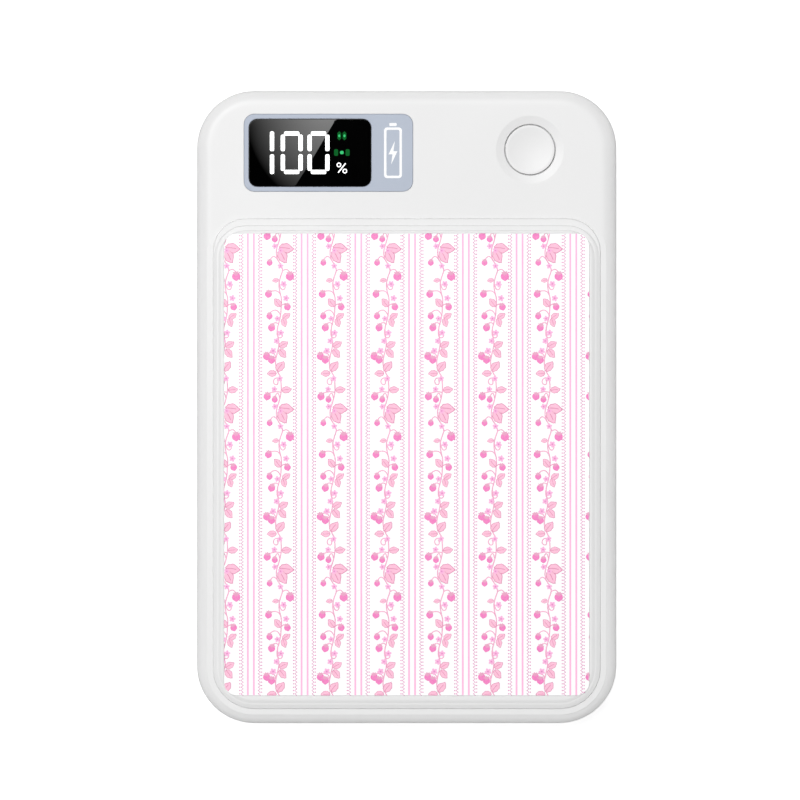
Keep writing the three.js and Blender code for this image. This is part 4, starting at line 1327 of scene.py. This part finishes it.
# ---- back pad ---------------------------------------------------------------------------------------
# A soft silicone ring glued into the groove. It shows where a phone sits and keeps it from sliding.
PAD_EDGE = 0.14 * MM
CHANNEL = 0.15 * MM


def is_pad_rim(edge):
    """An edge round the pad's outer face, between that face and a side."""
    sides = [face.normal.z for face in edge.link_faces]
    return all(v.co.z < FIT for v in edge.verts) and len(sides) == 2 and abs(sides[0] - sides[1]) > 0.5


pad = ring("grip_ring", pad_outer - PAD_WIDTH, pad_outer, pad_low.z, pad_high.z)
edit(pad)
pick(pad, "EDGE", is_pad_rim)
bpy.ops.mesh.bevel(offset=PAD_EDGE, segments=3)
leave()
channel_radius = pad_outer - PAD_WIDTH / 2
channel = ring("channel", channel_radius - CHANNEL, channel_radius + CHANNEL, -OVERSHOOT, CHANNEL)
boolean(pad, "DIFFERENCE", channel)
smooth(pad)
pad_silicone = finish("pad_silicone", "d4d5d7", "cbccce", 80, 5200, 0.55, 0.68, 0.008 * MM)
complete(pad, "case", "pad", pad_silicone, nodes=["back_pad"])

# ---- stand, light and camera ----------------------------------------------------------------------
# A pale table that glows under the case, a soft square light from the upper left and a white room,
# dark below the table. Mirror-like rays pass the table, so that the case keeps a thin darker rim.
# The camera looks straight down.
FRAME_WIDTH = 129.35 * MM
CAMERA_PLACE = (-1.08 * MM, 1.13 * MM, 0.9)
SENSOR = 36
TABLE_SIZE = 6
TABLE_GLOW = 0.52
TABLE_TOP = -0.02 * MM
floor = add_piece(
    "table_top", bpy.ops.mesh.primitive_plane_add, size=TABLE_SIZE, location=(0, 0, TABLE_TOP)
)
opal = finish("opal_glass", "f2f2f2", "eeeeee", 3, 200, 0.7, 0.8, 0.001 * MM)
body = opal.node_tree.nodes["Principled BSDF"]
body.inputs["Emission Color"].default_value = (1, 1, 1, 1)
body.inputs["Emission Strength"].default_value = TABLE_GLOW
floor.data.materials.append(opal)
floor.visible_glossy = False
floor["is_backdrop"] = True

KEY_SIZE = 0.8
KEY_WATTS = 20
KEY_PLACE = Vector((-0.3, 0.42, 1.7))
key_light = bpy.data.lights.new("key_light", "AREA")
key_light.shape = "SQUARE"
key_light.size = KEY_SIZE
key_light.energy = KEY_WATTS
key = bpy.data.objects.new("key_light", key_light)
key.location = KEY_PLACE
key.rotation_euler = (-KEY_PLACE).to_track_quat("-Z", "Y").to_euler()
key.visible_camera = False
bpy.context.scene.collection.objects.link(key)

# The room's brightness rises with the height of the direction, from its foot to its head.
WALL_GLOW, CEILING_GLOW = 0.02, 0.5
WALL_FOOT, WALL_HEAD = -0.05, 0.25
world = bpy.data.worlds.new("white_room")
world.use_nodes = True
nodes, links = world.node_tree.nodes, world.node_tree.links
nodes["Background"].inputs["Color"].default_value = (1, 1, 1, 1)
heading, rise = nodes.new("ShaderNodeTexCoord"), nodes.new("ShaderNodeSeparateXYZ")
dome = nodes.new("ShaderNodeMapRange")
dome.inputs["From Min"].default_value = WALL_FOOT
dome.inputs["From Max"].default_value = WALL_HEAD
dome.inputs["To Min"].default_value = WALL_GLOW
dome.inputs["To Max"].default_value = CEILING_GLOW
links.new(heading.outputs["Generated"], rise.inputs["Vector"])
links.new(rise.outputs["Z"], dome.inputs["Value"])
links.new(dome.outputs["Result"], nodes["Background"].inputs["Strength"])
bpy.context.scene.world = world
bpy.context.scene.view_settings.view_transform = "Standard"

# A dark card over the camera keeps the glossy window black, and a lit card below it shows in the
# window as a slanted sheen that fades to the left and towards the foot.
DARK_SIZE, DARK_HEIGHT = 0.5, 1.02
card = add_piece(
    "dark_card", bpy.ops.mesh.primitive_plane_add, size=DARK_SIZE, location=(0, 0, DARK_HEIGHT)
)
card.data.materials.append(finish("card_black", "020202", "030303", 5, 60, 0.9, 0.95, 0.001 * MM))
card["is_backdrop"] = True
CARD_HEIGHT = 0.99
CARD_PLACE = (-0.06, 0.085, CARD_HEIGHT)
CARD_SIZE = (0.09, 0.05, 1)
SHEEN_TOP = (-25.5 * MM, 96.6 * MM)
SHEEN_FOOT = (-37.8 * MM, 73.5 * MM)
SHEEN_GLOW = 6.5
SHEEN_MIDDLE = (-0.026, 0.103, CARD_HEIGHT)
SHEEN_REACH = (0.029, 0.036, 1)
sheen = add_piece("sheen_card", bpy.ops.mesh.primitive_plane_add, size=1, location=CARD_PLACE)
edit(sheen)
bpy.ops.transform.resize(value=CARD_SIZE, center_override=CARD_PLACE)
slope = Vector((SHEEN_TOP[1] - SHEEN_FOOT[1], SHEEN_FOOT[0] - SHEEN_TOP[0], 0))
bpy.ops.mesh.select_all(action="SELECT")
bpy.ops.mesh.bisect(plane_co=(*SHEEN_TOP, CARD_HEIGHT), plane_no=slope, clear_outer=True)
leave()
card_light = bpy.data.materials.new("card_light")
card_light.use_nodes = True
nodes, links = card_light.node_tree.nodes, card_light.node_tree.links
body = nodes["Principled BSDF"]
body.inputs["Base Color"].default_value = (0, 0, 0, 1)
body.inputs["Emission Strength"].default_value = SHEEN_GLOW
where, fade = nodes.new("ShaderNodeTexCoord"), nodes.new("ShaderNodeTexGradient")
turn, levels = nodes.new("ShaderNodeMapping"), nodes.new("ShaderNodeValToRGB")
fade.gradient_type = "SPHERICAL"
turn.vector_type = "TEXTURE"
turn.inputs["Location"].default_value = SHEEN_MIDDLE
turn.inputs["Scale"].default_value = SHEEN_REACH
links.new(where.outputs["Object"], turn.inputs["Vector"])
links.new(turn.outputs["Vector"], fade.inputs["Vector"])
links.new(fade.outputs["Fac"], levels.inputs["Fac"])
links.new(levels.outputs["Color"], body.inputs["Emission Color"])
sheen.data.materials.append(card_light)
sheen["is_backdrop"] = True
for one in (card, sheen):
    one.visible_camera = False
    one.visible_shadow = False

camera_data = bpy.data.cameras.new("camera")
camera_data.sensor_width = SENSOR
camera_data.lens = SENSOR * (CAMERA_PLACE[2] - DECK) / FRAME_WIDTH
camera_data.clip_start = 0.01
camera = bpy.data.objects.new("camera", camera_data)
camera.location = CAMERA_PLACE
bpy.context.scene.collection.objects.link(camera)
bpy.context.scene.camera = camera

low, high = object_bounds()
